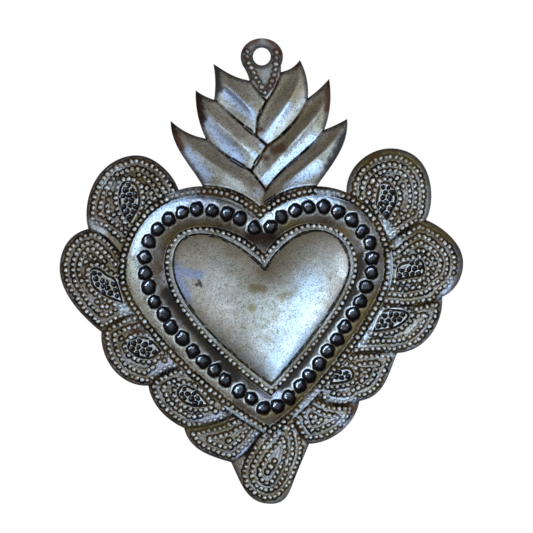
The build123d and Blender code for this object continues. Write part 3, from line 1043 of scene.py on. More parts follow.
    def soiled(self, kept: Wire | float, soils: list[tuple[Wire, Colour]], ridge: Wire) -> Wire:
        """Lay dirt round the beads and in the lines, painted shade and light beside the rows, and the patches
        over it.

        Args:
            kept: How much of the dirt is kept.
            soils: Covers and colours of the patches, of grime, rust and painted shade, that lie over the
                dirt.
            ridge: How much of each place is the ridge along a teardrop's line, which stays cleaner.

        Returns:
            How dirty each place is, from 0 to 1.
        """
        finish, graph = self.finish, self.graph
        dirt_fade, row_shade_share, hollow_share = 0.75, 0.5, 0.7
        among = 1 - (self.bead + self.mottled).ramp(finish.grime, finish.grime + dirt_fade)
        # painted light: dirt between the beads is lifted on the inner side of each row, a lighter band
        between = self.bead.ramp(*self.BEAD_FOOT) * among * (1 - self.row.ramp(*self.ROW_SIDE) * 0.9)
        # painted shade: a dark arc along the groove on the outer side of each row
        row_shade_arc = self.row.peak(GROOVE_PLACE, 0.16) * among
        # the dirt along the rows holds patina round the beads and the painted shade arcs
        rows = (between * finish.ringing * (1 - ridge * 0.6) + row_shade_arc * row_shade_share) * kept
        drawn = (1 - self.tear.ramp(*self.DRAWN_LINE)) * (self.mottle.ramp(*self.DRAWN_GAP) * 0.7 + 0.3)
        hollows = (1 - self.bead.ramp(*self.BEAD_HOLLOW)) * self.back * hollow_share
        dirt = (rows + self.traced() + drawn).clamped() * self.front + hollows
        patchy = graph.noise(self.place, 0.21, 4.0, 0.55) + self.mottled * 0.25
        self.lay(dirt, graph.mixed(patchy.ramp(*self.UMBER), finish.patina, finish.umber))
        for cover, colour in soils:
            self.lay(cover, colour)
        return sum((cover for cover, _ in soils), dirt).clamped()

    def dented(self) -> tuple[Wire, Wire]:
        """Lay black dents with grey floors, painted pale highlights on their lips and painted glints inside
        them.

        Returns:
            How much of each place is a dent, and how much is a painted glint.
        """
        finish, graph = self.finish, self.graph
        lip_highlight_share, bump_share = 0.9, 0.35
        struck = (1 - self.dent.ramp(*self.DENT_SIDE)) * self.front
        # painted highlight: pale crescents on the lips of the dents, on the side up and left of each
        lip_highlight = self.dent.peak(1.14, 0.2) * (self.slant + self.mottled).ramp(*self.LIP_SIDE)
        lip_highlight = lip_highlight * self.cloud.ramp(*self.LIP_PATCH) * lip_highlight_share * self.front
        self.lay(lip_highlight + (1 - self.dent.ramp(*self.DENT_BACK)) * self.back * bump_share, finish.pale)
        floor = 1 - (self.dent + self.grained * 0.25).ramp(*self.DENT_FLOOR)
        # ragged wear on the grey floor, a little more on the up-left side, which is painted light
        floor = floor * (self.ragged + self.slant * 0.1).ramp(*self.FLOOR_WEAR)
        self.lay(struck, graph.mixed(floor, finish.soot, finish.cup))
        # painted glint: a pale metal ring inside each dent, only on its up-left side, which faces the lamps
        painted_glint = (self.dent + self.grained * 0.5).peak(0.5, 0.16)
        painted_glint = painted_glint * (self.slant + self.mottled * 2.4).ramp(*self.RUB_SIDE) * finish.rubbing * self.front
        self.lay(painted_glint, finish.glint)
        return struck, painted_glint

    def join(self) -> None:
        """Lay all the layers in order and join them to the shader."""
        finish, graph = self.finish, self.graph
        dull = self.metal()
        kept, soils = self.stained()
        top, ridge = self.beaded(kept)
        soil_and_shade = self.soiled(kept, soils, ridge)
        struck, painted_glint = self.dented()
        soil_and_shade = soil_and_shade * (1 - struck)
        roughness = finish.roughness + dull * 0.1 + soil_and_shade * 0.25 + self.grained * 0.2
        roughness = (roughness - struck * 0.15 - top * 0.1).clamped()
        metallic = 0.95 - soil_and_shade * 0.6 - struck * 0.6 * (1 - painted_glint) - top * 0.55
        height = self.grain * 0.6 + self.mottle + self.streak * finish.streaks * 2
        bump = graph.node("ShaderNodeBump", {}, {"Strength": 0.7, "Distance": 0.08 * MM, "Height": height})
        surface = graph.node("ShaderNodeBsdfPrincipled", {}, {
            "Base Color": self.colour, "Metallic": metallic, "Roughness": roughness, "Normal": bump,
            "Specular IOR Level": 0.1, "Coat Weight": struck * 0.15, "Coat Roughness": 0.15})
        graph.node("ShaderNodeOutputMaterial", {}, {"Surface": surface})


@dataclass
class ChasedPiece:
    """One region of the ornament, between its cut edges and its chased lines."""

    node: str
    slot: str
    finish: TinFinish
    spacing: float
    chasing: Chasing
    traced_to: tuple[str, ...] = ()

    def raised(self, front: Front, sheet: Sheet) -> None:
        """Give the sheet its rise."""
        sheet.eased(passes=12)

    def tools(self, front: Front, sheet: Sheet, meetings: dict[Meeting, np.ndarray]) -> Tools:
        """Where the punches strike."""
        return Tools()

    def marked(self, sheet: Sheet, meetings: dict[Meeting, np.ndarray]) -> None:
        """Mark how far each point of the sheet is from chased lines and cut edges."""
        sheet.marks[Mark.LINE] = nearest(sheet.places, meetings[Meeting.LINE])
        sheet.marks[Mark.EDGE] = nearest(sheet.places, meetings[Meeting.CUT])
        sheet.marks[Mark.ROW] = np.zeros(len(sheet.places))
        sheet.marks[Mark.TEAR] = nearest(sheet.places, np.empty((0, 2)))

    def build(self, front: Front, meetings: dict[Meeting, np.ndarray], tree: ChasingTree,
              material: bpy.types.Material) -> bpy.types.Object:
        """Make the piece.

        Args:
            front: Front of the construction node.
            meetings: Flat places of the outline by what they meet.
            tree: The chasing tree.
            material: The finish.

        Returns:
            The finished piece, riding on the body in place of its node.
        """
        sheet = Sheet.cut(front, self.spacing)
        self.raised(front, sheet)
        self.marked(sheet, meetings)
        tools = self.tools(front, sheet, meetings)
        piece = tree.struck("tin_" + self.node, sheet, tools, self.chasing, material)
        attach(piece, BODY)
        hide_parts(self.node)
        log.info("%s: %d faces, %d rows, %d dents", piece.name, len(piece.data.polygons), len(tools.rows),
                 len(tools.dents))
        return piece


@dataclass
class HeartDome(ChasedPiece):
    """The smooth puffed heart in the middle."""

    height: float = 3.7
    fullness: float = 0.62

    def raised(self, front: Front, sheet: Sheet) -> None:
        """Puff the sheet up from its level outline."""
        sheet.rise = front.level() + self.height * sheet.puffed(self.fullness)


@dataclass
class BeadRim(ChasedPiece):
    """A level band with the construction's row of beads."""

    shift: float = 0.0
    shade_reach: float = 1.9
    added: tuple[Place, ...] = ()

    def raised(self, front: Front, sheet: Sheet) -> None:
        """Keep the band level."""
        sheet.rise = np.full(len(sheet.places), front.level())

    def tools(self, front: Front, sheet: Sheet, meetings: dict[Meeting, np.ndarray]) -> Tools:
        """Strike a bead wherever the construction has one, shifted away from the traced line."""
        beads = front.poles(front.rises().max())
        line = meetings[Meeting.LINE]
        if self.shift:
            closest = np.array([line[np.hypot(*(line - bead).T).argmin()] for bead in beads])
            away = beads - closest
            beads = beads + self.shift * away / np.hypot(*away.T)[:, None]
            bead_line = np.median(nearest(beads, line))
            sheet.marks[Mark.ROW] = (bead_line - sheet.marks[Mark.LINE]) / self.shade_reach
        return Tools(beads=[*beads.tolist(), *self.added])


@dataclass
class DentedTrough(ChasedPiece):
    """The sunk band between the rims, with its row of large dents."""

    depth: float = 1.5
    fullness: float = 0.7

    def raised(self, front: Front, sheet: Sheet) -> None:
        """Sink the sheet in a smooth channel between its level outlines."""
        sheet.rise = front.level() - self.depth * sheet.puffed(self.fullness)

    def tools(self, front: Front, sheet: Sheet, meetings: dict[Meeting, np.ndarray]) -> Tools:
        """Strike a dent wherever the construction has one."""
        return Tools(dents=front.poles(front.rises().min()).tolist())


@dataclass(frozen=True)
class Teardrop:
    """A teardrop traced on a petal: its point, and corners that its rounded line is drawn from."""

    tip: Place
    corners: tuple[Place, ...]

    def outline(self) -> np.ndarray:
        """The traced line as a closed path, sharp only at the tip."""
        path = np.array([self.tip, *self.corners, self.tip])
        roundings, most, least = 3, 0.75, 0.25
        for _ in range(roundings):
            ahead = most * path[:-1] + least * path[1:]
            behind = least * path[:-1] + most * path[1:]
            inner = np.stack([ahead, behind], axis=1).reshape(-1, 2)[1:-1]
            path = np.concatenate([path[:1], inner, path[-1:]])
        fine = 0.12
        return spread(path, fine)[:-1]

    def dents(self, pitch: float, clear: float) -> list[Place]:
        """Places for small dents inside the line, in staggered rows along the teardrop.

        Args:
            pitch: Distance between dents.
            clear: Least distance from the line.

        Returns:
            The places.
        """
        line = self.outline()
        middle = line.mean(axis=0)
        along = (middle - self.tip) / np.hypot(*(middle - self.tip))
        across = np.array([-along[1], along[0]])
        reach, tries = 7, 4
        row, column = (grid.reshape(-1, 1) for grid in np.mgrid[-reach:reach + 1, -reach:reach + 1])
        lattice = pitch * (along * row * math.sqrt(3) / 2 + across * (column + row % 2 / 2))
        best = np.empty((0, 2))
        for shift in np.ndindex(tries, tries):
            found = middle + lattice + pitch / tries * (along * shift[0] + across * shift[1])
            found = found[inside(found, line)]
            found = found[nearest(found, line) > clear]
            if len(found) > len(best):
                best = found
        return [tuple(place) for place in best]


def contours(sheet: Sheet, values: np.ndarray, level: float) -> list[np.ndarray]:
    """Lines on a sheet along which some values have one level.

    Args:
        sheet: The sheet.
        values: One value for each of its points.
        level: The level.

    Returns:
        The lines, as flat places in order.
    """
    above = values > level
    sides = above[sheet.triangles]
    crossed = sheet.triangles[sides.any(axis=1) & ~sides.all(axis=1)]
    links: dict[tuple[int, int], list[tuple[int, int]]] = {}
    for a, b, c in crossed.tolist():
        pairs = ((a, b), (b, c), (c, a))
        cut = [(min(pair), max(pair)) for pair in pairs if above[pair[0]] != above[pair[1]]]
        links.setdefault(cut[0], []).append(cut[1])
        links.setdefault(cut[1], []).append(cut[0])
    ends = [side for side, others in links.items() if len(others) == 1]
    seen: set[tuple[int, int]] = set()
    lines = []
    for start in [*ends, *links]:
        chain = []
        side: tuple[int, int] | None = start
        while side is not None and side not in seen:
            seen.add(side)
            chain.append(side)
            side = next((other for other in links[side] if other not in seen), None)
        if len(chain) > 1:
            near, far = np.array(chain).T
            share = ((level - values[near]) / (values[far] - values[near]))[:, None]
            lines.append(sheet.places[near] * (1 - share) + sheet.places[far] * share)
    return lines


@dataclass
class Petal(ChasedPiece):
    """A scalloped petal with rows of beads that follow its edge round a teardrop of small dents."""

    teardrop: Teardrop | None = None
    edge_margin: float = 1.6
    line_margin: float = 0.95
    first_pitch: float = 1.95
    row_pitch: float = 1.6
    foot_margin: float = 0.5
    teardrop_margin: float = 1.0
    teardrop_row: float = 1.5
    dent_pitch: float = 1.6
    crown: float = 0.7
    wobble: float = 0.22
    guide: tuple[Place, ...] = ()

    def raised(self, front: Front, sheet: Sheet) -> None:
        """Follow the construction's crowned face, a little flatter."""
        sheet.eased(passes=30)
        level = front.level()
        sheet.rise = level + (sheet.rise - level) * self.crown

    def row_numbers(self, places: np.ndarray, meetings: dict[Meeting, np.ndarray]) -> np.ndarray:
        """How many rows of beads each place is from the first row, which follows the outline."""
        cut, line = meetings[Meeting.CUT], meetings[Meeting.LINE]
        margins = np.concatenate([np.full(len(cut), self.edge_margin), np.full(len(line), self.line_margin)])
        past_first = nearest(places, np.concatenate([cut, line]), margins)
        if self.guide:
            guide = np.array(self.guide)
            past_first = nearest(places, spread(guide, self.spacing)) * np.where(inside(places, guide), 1, -1)
        wobble_length = 3
        waves = [noise(Vector((*place, self.chasing.seed)) / wobble_length) for place in places]
        past_first += self.wobble * np.array(waves)
        past_second = past_first - self.first_pitch
        return np.where(past_second < 0, past_first / self.first_pitch, 1 + past_second / self.row_pitch)

    def open_to_rows(self, places: np.ndarray, meetings: dict[Meeting, np.ndarray]) -> np.ndarray:
        """Which places are clear of the foot and of the teardrop with its own row."""
        clear = nearest(places, meetings[Meeting.RIM]) > self.foot_margin
        if self.guide:
            sides = np.concatenate([meetings[Meeting.LINE], meetings[Meeting.CUT]])
            clear &= nearest(places, sides) > self.line_margin
        if self.teardrop:
            line = self.teardrop.outline()
            margin = self.teardrop_margin + self.teardrop_row
            clear &= ~inside(places, line) & (nearest(places, line) > margin)
        return clear

    def marked(self, sheet: Sheet, meetings: dict[Meeting, np.ndarray]) -> None:
        """Mark the lines, edges and rows, and trace the teardrop."""
        super().marked(sheet, meetings)
        row = self.row_numbers(sheet.places, meetings)
        least_row = -0.5
        shown = (row > least_row) & self.open_to_rows(sheet.places, meetings)
        sheet.marks[Mark.ROW] = np.where(shown, row - np.round(row), 0.0)
        if self.teardrop:
            off_line = nearest(sheet.places, self.teardrop.outline())
            sheet.marks[Mark.LINE] = np.minimum(sheet.marks[Mark.LINE], off_line)
            sheet.marks[Mark.TEAR] = off_line

    def tools(self, front: Front, sheet: Sheet, meetings: dict[Meeting, np.ndarray]) -> Tools:
        """Lay rows of beads from the edge inwards and one round the teardrop, and fill that with dents."""
        numbers = self.row_numbers(sheet.places, meetings)
        rows = []
        for number in range(int(numbers.max()) + 1):
            for line in contours(sheet, numbers, number):
                rows += runs(line, self.open_to_rows(line, meetings))
        if not self.teardrop:
            return Tools(rows=rows)
        outline = self.teardrop.outline()
        least_row, clear_of_line = -0.3, 0.5
        for line in contours(sheet, nearest(sheet.places, outline), self.teardrop_margin):
            clear = ~inside(line, outline) & (nearest(line, meetings[Meeting.RIM]) > self.foot_margin)
            rows += runs(line, clear & (self.row_numbers(line, meetings) > least_row))
        return Tools(rows=rows, dents=self.teardrop.dents(self.dent_pitch, clear_of_line))


def runs(path: np.ndarray, good: np.ndarray) -> list[np.ndarray]:
    """The unbroken stretches of a path where its points are good.

    Args:
        path: Points in order.
        good: Which of them are kept.

    Returns:
        Each stretch of two points or more.
    """
    breaks = np.flatnonzero(np.diff(np.concatenate([[0], good.astype(int), [0]])))
    stretches = [path[start:end] for start, end in zip(breaks[::2], breaks[1::2])]
    return [stretch for stretch in stretches if len(stretch) > 1]


@dataclass
class FlameLeaf(ChasedPiece):
    """A leaf of the flame, with a raised ridge."""

    def raised(self, front: Front, sheet: Sheet) -> None:
        """Follow the construction's two faces and round their ridge off."""
        sheet.eased(passes=6)

    def marked(self, sheet: Sheet, meetings: dict[Meeting, np.ndarray]) -> None:
        """Mark the lines and edges, and the way that the leaf was brushed."""
        super().marked(sheet, meetings)
        spread_of_places = np.cov((sheet.places - sheet.places.mean(axis=0)).T)
        across, along = np.linalg.eigh(spread_of_places)[1].T
        sheet.marks[Mark.ALONG] = sheet.places @ along
        sheet.marks[Mark.ACROSS] = sheet.places @ across


@dataclass
class HangingEyelet(BeadRim):
    """The tab with the hanging hole and two short rows of beads, beaten a little flat above the hole."""

    hole_radius: float = 2.4
    flattened: float = 0.14

    def raised(self, front: Front, sheet: Sheet) -> None:
        """Keep the tab level, and draw its edge in above the hole."""
        super().raised(front, sheet)
        above = sheet.places[:, 1] > 0
        past_hole = np.hypot(*sheet.places[above].T) - self.hole_radius
        sheet.places[above, 1] *= 1 - self.flattened * np.clip(past_hole / past_hole.max(), 0, 1)


@dataclass
class Ornament:
    """The whole ornament: its pieces and how they meet."""

    pieces: list[ChasedPiece]
    rim_node: str = "outer_bead_rim"

    def build(self) -> None:
        """Make all the pieces in order."""
        tree = ChasingTree()
        fronts = {piece.node: Front.of(piece.node) for piece in self.pieces}
        outlines = {}
        for piece in self.pieces:
            loops = [resampled(loop, piece.spacing)[:, :2] for loop in fronts[piece.node].loops]
            outlines[piece.node] = np.concatenate(loops)
        finishes: dict[str, bpy.types.Material] = {}
        for piece in self.pieces:
            if piece.finish.name not in finishes:
                finishes[piece.finish.name] = piece.finish.material()
            meetings = self.meetings(piece, outlines)
            piece.build(fronts[piece.node], meetings, tree, finishes[piece.finish.name])

    def meetings(self, piece: ChasedPiece, outlines: dict[str, np.ndarray]) -> dict[Meeting, np.ndarray]:
        """Sort the outline of one piece by what it meets.

        Args:
            piece: The piece.
            outlines: Flat outlines of all the nodes.

        Returns:
            Outline places by what they meet.
        """
        touching = 0.25
        outline = outlines[piece.node]
        others = {name: line for name, line in outlines.items() if name != piece.node}
        near = {name: nearest(outline, line) < touching for name, line in others.items()}
        shared = np.any(list(near.values()), axis=0)
        traced = np.zeros(len(outline), bool)
        for name, touches in near.items():
            if name.startswith(piece.traced_to):
                traced |= touches
        on_rim = near.get(self.rim_node, np.zeros(len(outline), bool))
        return {Meeting.CUT: outline[~shared], Meeting.LINE: outline[traced], Meeting.RIM: outline[on_rim]}


@dataclass(frozen=True)
class SoftLight:
    """A soft panel that looks at the ornament's middle."""

    name: str
    place: tuple[float, float, float]
    size: tuple[float, float]
    power: float
    colour: Colour

    def hang(self, target: Vector) -> None:
        """Put the lamp up, facing a point."""
        lamp = bpy.data.lights.new(self.name, "AREA")
        lamp.shape = "RECTANGLE"
        lamp.size, lamp.size_y = self.size
        lamp.energy = self.power
        lamp.color = self.colour
        holder = bpy.data.objects.new(self.name, lamp)
        holder.location = self.place
        holder.rotation_euler = (target - Vector(self.place)).to_track_quat("-Z", "Y").to_euler()
        holder.visible_camera = False
        bpy.context.scene.collection.objects.link(holder)


@dataclass(frozen=True)
class FloorCard:
    """A coloured card on the floor that tints what the metal reflects, unseen by the camera."""

    name: str
    centre: tuple[float, float, float]
    size: tuple[float, float]
    colour: Colour

    def lay(self) -> None:
        """Put the card down."""
        across, deep, up = self.centre
        half_width, half_depth = self.size[0] / 2, self.size[1] / 2
        corners = [(across + side * half_width, deep + end * half_depth, up)
                   for side, end in ((-1, -1), (1, -1), (1, 1), (-1, 1))]
        mesh = bpy.data.meshes.new(self.name)
        mesh.from_pydata(corners, [], [(0, 1, 2, 3)])
        material = bpy.data.materials.new(self.name)
        material.use_nodes = True
        graph = Graph(material.node_tree)
        matt = graph.node("ShaderNodeBsdfDiffuse", {}, {"Color": (*self.colour, 1.0)})
        graph.node("ShaderNodeOutputMaterial", {}, {"Surface": matt})
        mesh.materials.append(material)
        card = bpy.data.objects.new(self.name, mesh)
        card.visible_camera = False
        bpy.context.scene.collection.objects.link(card)


@dataclass
class Studio:
    """A pale floor and wall, soft lamps and the camera, in metres."""

    frame_width: float = 0.1386
    middle: tuple[float, float, float] = (0.00122, 0.0, -0.0546)
    lens: float = 120.0
    sensor: float = 36.0
    floor_up: float = -0.40
    wall_back: float = 1.5
    half_width: float = 3.0
    front_reach: float = -3.0
    bend_radius: float = 0.3
    pale_sky: Colour = (0.83, 0.80, 0.775)
    dim_sky: Colour = (0.24, 0.205, 0.145)
    sky_strength: float = 0.95
    lights: tuple[SoftLight, ...] = (
        SoftLight("low_front", (0.115, -0.44, -0.155), (0.38, 0.30), 0.64, (0.42, 0.74, 1.0)),
        SoftLight("low_under", (0.16, -0.05, -0.37), (0.8, 0.45), 1.1, (0.48, 0.73, 1.0)),
        SoftLight("glint", (0.24, -0.33, -0.27), (0.08, 0.08), 0.2, (0.80, 0.90, 1.0)),
    )
    cards: tuple[FloorCard, ...] = (
        FloorCard("blue_card", (0.24, -0.15, -0.39), (0.82, 0.7), (0.30, 0.42, 0.62)),
        FloorCard("buff_card", (-0.41, -0.15, -0.39), (0.48, 0.7), (0.50, 0.48, 0.43)),
    )

    def build(self) -> None:
        """Set up the stage, the lamps, the world and the camera."""
        self.stage()
        for card in self.cards:
            card.lay()
        for light in self.lights:
            light.hang(Vector(self.middle))
        self.world()
        self.camera()

    def stage(self) -> None:
        """A floor that bends up into a wall behind the ornament."""
        profile = [(self.front_reach, self.floor_up)]
        steps = 12
        for step in range(steps + 1):
            turn = math.pi / 2 * step / steps
            profile.append((self.wall_back - self.bend_radius * (1 - math.sin(turn)),
                            self.floor_up + self.bend_radius * (1 - math.cos(turn))))
        profile.append((self.wall_back, self.half_width))
        points = [(side * self.half_width, back, up) for back, up in profile for side in (-1, 1)]
        faces = [(2 * row, 2 * row + 1, 2 * row + 3, 2 * row + 2) for row in range(len(profile) - 1)]
        mesh = bpy.data.meshes.new("backdrop")
        mesh.from_pydata(points, [], faces)
        mesh.materials.append(self.paper())
        sweep = bpy.data.objects.new("backdrop", mesh)
        bpy.context.scene.collection.objects.link(sweep)

    def paper(self) -> bpy.types.Material:
        """Pale paper that the camera and reflections see as white."""
        material = bpy.data.materials.new("backdrop_paper")
        material.use_nodes = True
        graph = Graph(material.node_tree)
        path = graph.node("ShaderNodeLightPath")
        seen = path.output("Is Camera Ray").maths("MAXIMUM", path.output("Is Glossy Ray"))
        seen = seen.maths("MAXIMUM", path.output("Is Transmission Ray"))
        pale = graph.node("ShaderNodeBsdfDiffuse", {}, {"Color": (0.82, 0.82, 0.82, 1.0)})
        white = graph.node("ShaderNodeEmission", {}, {"Color": (1.0, 1.0, 1.0, 1.0), "Strength": 1.0})
        surface = graph.node("ShaderNodeMixShader", {}, {0: seen, 1: pale, 2: white})
        graph.node("ShaderNodeOutputMaterial", {}, {"Surface": surface})
        return material

    def world(self) -> None:
        """Soft light from all round, dim and warm from above and from the left."""
        world = bpy.data.worlds.new("studio")
        world.use_nodes = True
        graph = Graph(world.node_tree)
        towards = graph.node("ShaderNodeSeparateXYZ", {}, {"Vector": graph.node("ShaderNodeTexCoord")})
        up_share, left_share = 0.9, 0.4
        height = towards.output("Z") * up_share - towards.output("X") * left_share
        pale_below, dim_above = -0.2, 0.62
        sky = graph.mixed(height.ramp(pale_below, dim_above), self.pale_sky, self.dim_sky)
        glow = graph.node("ShaderNodeBackground", {}, {"Color": sky, "Strength": self.sky_strength})
        graph.node("ShaderNodeOutputWorld", {}, {"Surface": glow})
        bpy.context.scene.world = world

    def camera(self) -> None:
        """Look straight at the front, with the ornament framed as in the photograph."""
        data = bpy.data.cameras.new("camera")
        data.lens = self.lens
        data.sensor_width = self.sensor
        away = self.frame_width * self.lens / self.sensor
        holder = bpy.data.objects.new("camera", data)
        holder.location = Vector(self.middle) - Vector((0, away, 0))
        holder.rotation_euler = (math.pi / 2, 0, 0)
        bpy.context.scene.collection.objects.link(holder)
        bpy.context.scene.camera = holder
        bpy.context.scene.view_settings.view_transform = "Standard"


# Colours of patches: the blue one paints reflected light, the bare one is bare metal with painted sheen, the
# cream one is cream wear and painted light, the olive one is laid on faces that look up as painted shade, the
# dusk one is a dark patch and painted shade.
BLUE_REFLECTION, BARE_WITH_SHEEN, LILAC = (0.48, 0.62, 0.90), (0.74, 0.82, 0.94), (0.66, 0.68, 0.84)
CREAM_WEAR_AND_LIGHT, OLIVE, DUSK_STAIN_AND_SHADE = (0.60, 0.58, 0.50), (0.29, 0.235, 0.11), (0.050, 0.040, 0.033)
RUST, CHAR, INK = (0.105, 0.037, 0.013), (0.035, 0.015, 0.010), (0.012, 0.010, 0.012)

FINE_SPACING = 0.17

TEARDROPS = {
    "left_1": Teardrop((-34.2, -43.0), ((-36.5, -39.9), (-36.9, -36.5), (-36.6, -33.9), (-35.6, -32.6),
                                        (-32.7, -33.0), (-31.9, -35.5), (-31.7, -38.7))),
    "left_2": Teardrop((-36.2, -63.8), ((-39.4, -62.7), (-42.1, -61.1), (-43.8, -59.6), (-44.3, -57.3),
                                        (-44.1, -54.9), (-41.8, -55.3), (-40.3, -56.9), (-38.1, -57.7),
                                        (-37.2, -60.2))),
    "left_3": Teardrop((-26.4, -76.3), ((-28.2, -78.4), (-31.4, -78.2), (-33.8, -76.8), (-34.8, -75.0),
                                        (-32.9, -73.0), (-29.8, -73.0), (-27.7, -74.6))),
    "left_4": Teardrop((-13.9, -90.4), ((-16.8, -90.9), (-20.3, -89.8), (-22.2, -87.4), (-20.4, -85.2),
                                        (-17.1, -86.6), (-15.2, -88.6))),
    "right_1": Teardrop((32.4, -42.2), ((34.8, -37.9), (34.6, -35.5), (33.6, -33.6), (31.9, -32.5),
                                        (30.6, -33.6), (30.0, -36.0), (29.7, -38.8))),
    "right_2": Teardrop((35.0, -58.0), ((38.2, -57.3), (42.1, -56.8), (41.9, -54.4), (41.2, -52.7),
                                        (37.9, -53.5), (35.2, -54.2))),
    "right_3": Teardrop((29.0, -71.3), ((33.4, -70.8), (36.5, -69.3), (38.4, -67.2), (36.6, -66.0),
                                        (34.0, -65.9), (31.2, -66.0))),
    "right_4": Teardrop((17.7, -84.9), ((21.1, -84.6), (23.7, -83.6), (23.5, -81.2), (21.6, -80.7),
                                        (19.3, -81.5))),
}
BOTTOM_GUIDE = ((1.6, -97.4), (-0.6, -99.8), (-2.4, -102.4), (-4.1, -105.6), (-4.6, -108.4), (-3.8, -111.4),
                (-2.0, -113.4), (0.4, -114.5), (3.0, -114.5), (5.2, -113.0), (7.4, -109.8), (8.9, -106.6),
                (9.8, -103.2), (9.7, -99.4), (8.8, -95.8))


def dome_tin() -> TinFinish:
    """Bright speckled metal with a painted blue reflection, painted highlights and shade, olive spots and a
    bold doubled line.
    """
    stains = (
        # painted reflection: a blue patch on the left edge of the dome
        StainAndLightPatch((0.31, 0.43, 0.78), (
            Stroke(2.6, (-22.6, -55.0), (-19.8, -62.0)), Stroke(1.8, (-21.0, -56.0), (-16.0, -56.8)),
        ), share=0.75),
        StainAndLightPatch((0.36, 0.31, 0.27), (Stroke(2.6, (16.4, -54.0), (18.2, -59.0)),), share=0.5),
        # painted highlight: a pale glint on the right edge
        StainAndLightPatch((0.90, 0.97, 1.0), (Stroke(1.8, (20.4, -52.0), (21.4, -56.5)),), share=0.95),
        StainAndLightPatch((0.21, 0.15, 0.035), (
            Stroke(1.6, (-2.4, -60.0), (0.2, -60.4)), Stroke(1.6, (5.2, -62.4), (8.6, -61.4)),
            Stroke(1.6, (-2.5, -65.2)),
        ), share=0.7),
        # painted shade: dimmer metal across the upper right
        StainAndLightPatch((0.36, 0.34, 0.30), (Stroke(6.5, (7.0, -52.0), (17.0, -50.5)),), share=0.4),
        # painted highlight: a pale blue sheen down the lower right
        StainAndLightPatch((0.58, 0.69, 0.83), (
            Stroke(5.5, (12.0, -58.5), (10.5, -67.5)), Stroke(6.0, (10.5, -67.5), (5.5, -78.5)),
        ), share=0.6),
        StainAndLightPatch(CHAR, (
            Stroke(0.6, (-16.8, -59.3), (-15.9, -58.8)), Stroke(0.5, (-15.6, -59.6), (-16.2, -58.2)),
        ), share=0.65, soiling=0.8),
    )
    return TinFinish(
        "dome_tin", bright=(0.62, 0.62, 0.61), tarnish=(0.46, 0.44, 0.39), speckle=0.55, line_width=0.28,
        doubling=0.5, stains=stains,
    )


def rim_tin() -> TinFinish:
    """Grimy metal with tan beads, bare stretches with painted sheen and a little rust."""
    stains = (
        # bare metal with a painted bluish sheen
        StainAndLightPatch(BARE_WITH_SHEEN, (
            Stroke(1.3, (33.8, -51.5), (33.6, -60.5)), Stroke(1.4, (14.5, -87.0), (10.8, -90.3)),
            Stroke(1.2, (15.0, -35.4), (20.0, -35.6)), Stroke(0.6, (15.0, -86.8), (8.4, -93.3)),
            Stroke(0.6, (-9.4, -91.0), (0.4, -97.0)),
        ), clearing=0.8),
        StainAndLightPatch((0.42, 0.46, 0.52), (Stroke(2.0, (-23.6, -35.4), (-17.2, -34.6)),), share=0.7, clearing=1.0),
        StainAndLightPatch(CREAM_WEAR_AND_LIGHT, (Stroke(1.6, (-14.0, -34.0), (-9.0, -34.8)),)),
        StainAndLightPatch((0.30, 0.20, 0.06), (Stroke(2.2, (-1.0, -95.0), (4.0, -93.0)),), share=0.6),
        StainAndLightPatch(RUST, (
            Stroke(0.8, (-22.6, -33.6), (-17.0, -33.4)), Stroke(1.0, (-15.8, -35.4), (-8.0, -36.4)),
            Stroke(1.4, (21.8, -35.6), (23.6, -36.4)),
        ), share=0.55, soiling=0.9),
    )
    return TinFinish("rim_tin", line_width=0.18, grime=1.7, tanning=0.8, stains=stains)


def trough_tin() -> TinFinish:
    """Dark metal, with painted pale light along the top and on the lower left, and painted olive and dusky
    shade along the sides.
    """
    stains = (
        # painted light: pale blue along the top of the trough, on walls that face down towards the lamps
        StainAndLightPatch(BARE_WITH_SHEEN, (
            Stroke(2.8, (-33.6, -49.5), (-27.5, -41.2)), Stroke(2.4, (-27.5, -41.2), (-20.5, -37.6)),
            Stroke(1.9, (0.4, -43.2), (2.8, -40.2)), Stroke(2.2, (2.8, -40.2), (8.2, -37.4)),
            Stroke(2.0, (8.2, -37.4), (19.6, -37.2)),
        )),
        StainAndLightPatch(LILAC, (
            Stroke(1.8, (-20.0, -37.6), (-12.5, -38.4)), Stroke(1.6, (-24.6, -54.0), (-24.4, -60.0)),
            Stroke(2.0, (0.0, -87.8), (4.5, -88.4)),
        ), share=0.55),
        # painted light: cream along the lower left outer wall
        StainAndLightPatch(CREAM_WEAR_AND_LIGHT, (
            Stroke(2.5, (-35.0, -52.5), (-32.0, -63.5)), Stroke(2.2, (-32.0, -63.5), (-9.0, -88.5)),
        ), share=0.6),
        # painted shade: olive on the walls that face up
        StainAndLightPatch(OLIVE, (
            Stroke(2.8, (30.0, -62.5), (8.5, -89.5)), Stroke(2.0, (-14.5, -44.2), (-24.0, -47.5)),
            Stroke(1.8, (7.0, -43.8), (22.0, -46.0)),
        ), share=0.8),
        # painted shade: dark along the lower inner walls and the right side
        StainAndLightPatch(DUSK_STAIN_AND_SHADE, (
            Stroke(2.4, (-24.5, -61.5), (-7.0, -83.0)), Stroke(2.0, (26.0, -52.0), (24.5, -60.0)),
            Stroke(2.0, (24.5, -60.0), (5.5, -85.5)),
        ), share=0.9, soiling=0.9),
        StainAndLightPatch((0.22, 0.15, 0.05), (
            Stroke(1.8, (0.5, -93.2), (5.0, -92.8)), Stroke(1.6, (5.0, -92.8), (9.5, -89.5)),
        ), share=0.7),
        StainAndLightPatch(CHAR, (Stroke(3.2, (-2.2, -46.6), (1.8, -46.6)),), soiling=1.0),
    )
    return TinFinish(
        "trough_tin", bright=(0.27, 0.265, 0.265), tarnish=(0.13, 0.105, 0.075), speckle=0.7, stains=stains,
    )


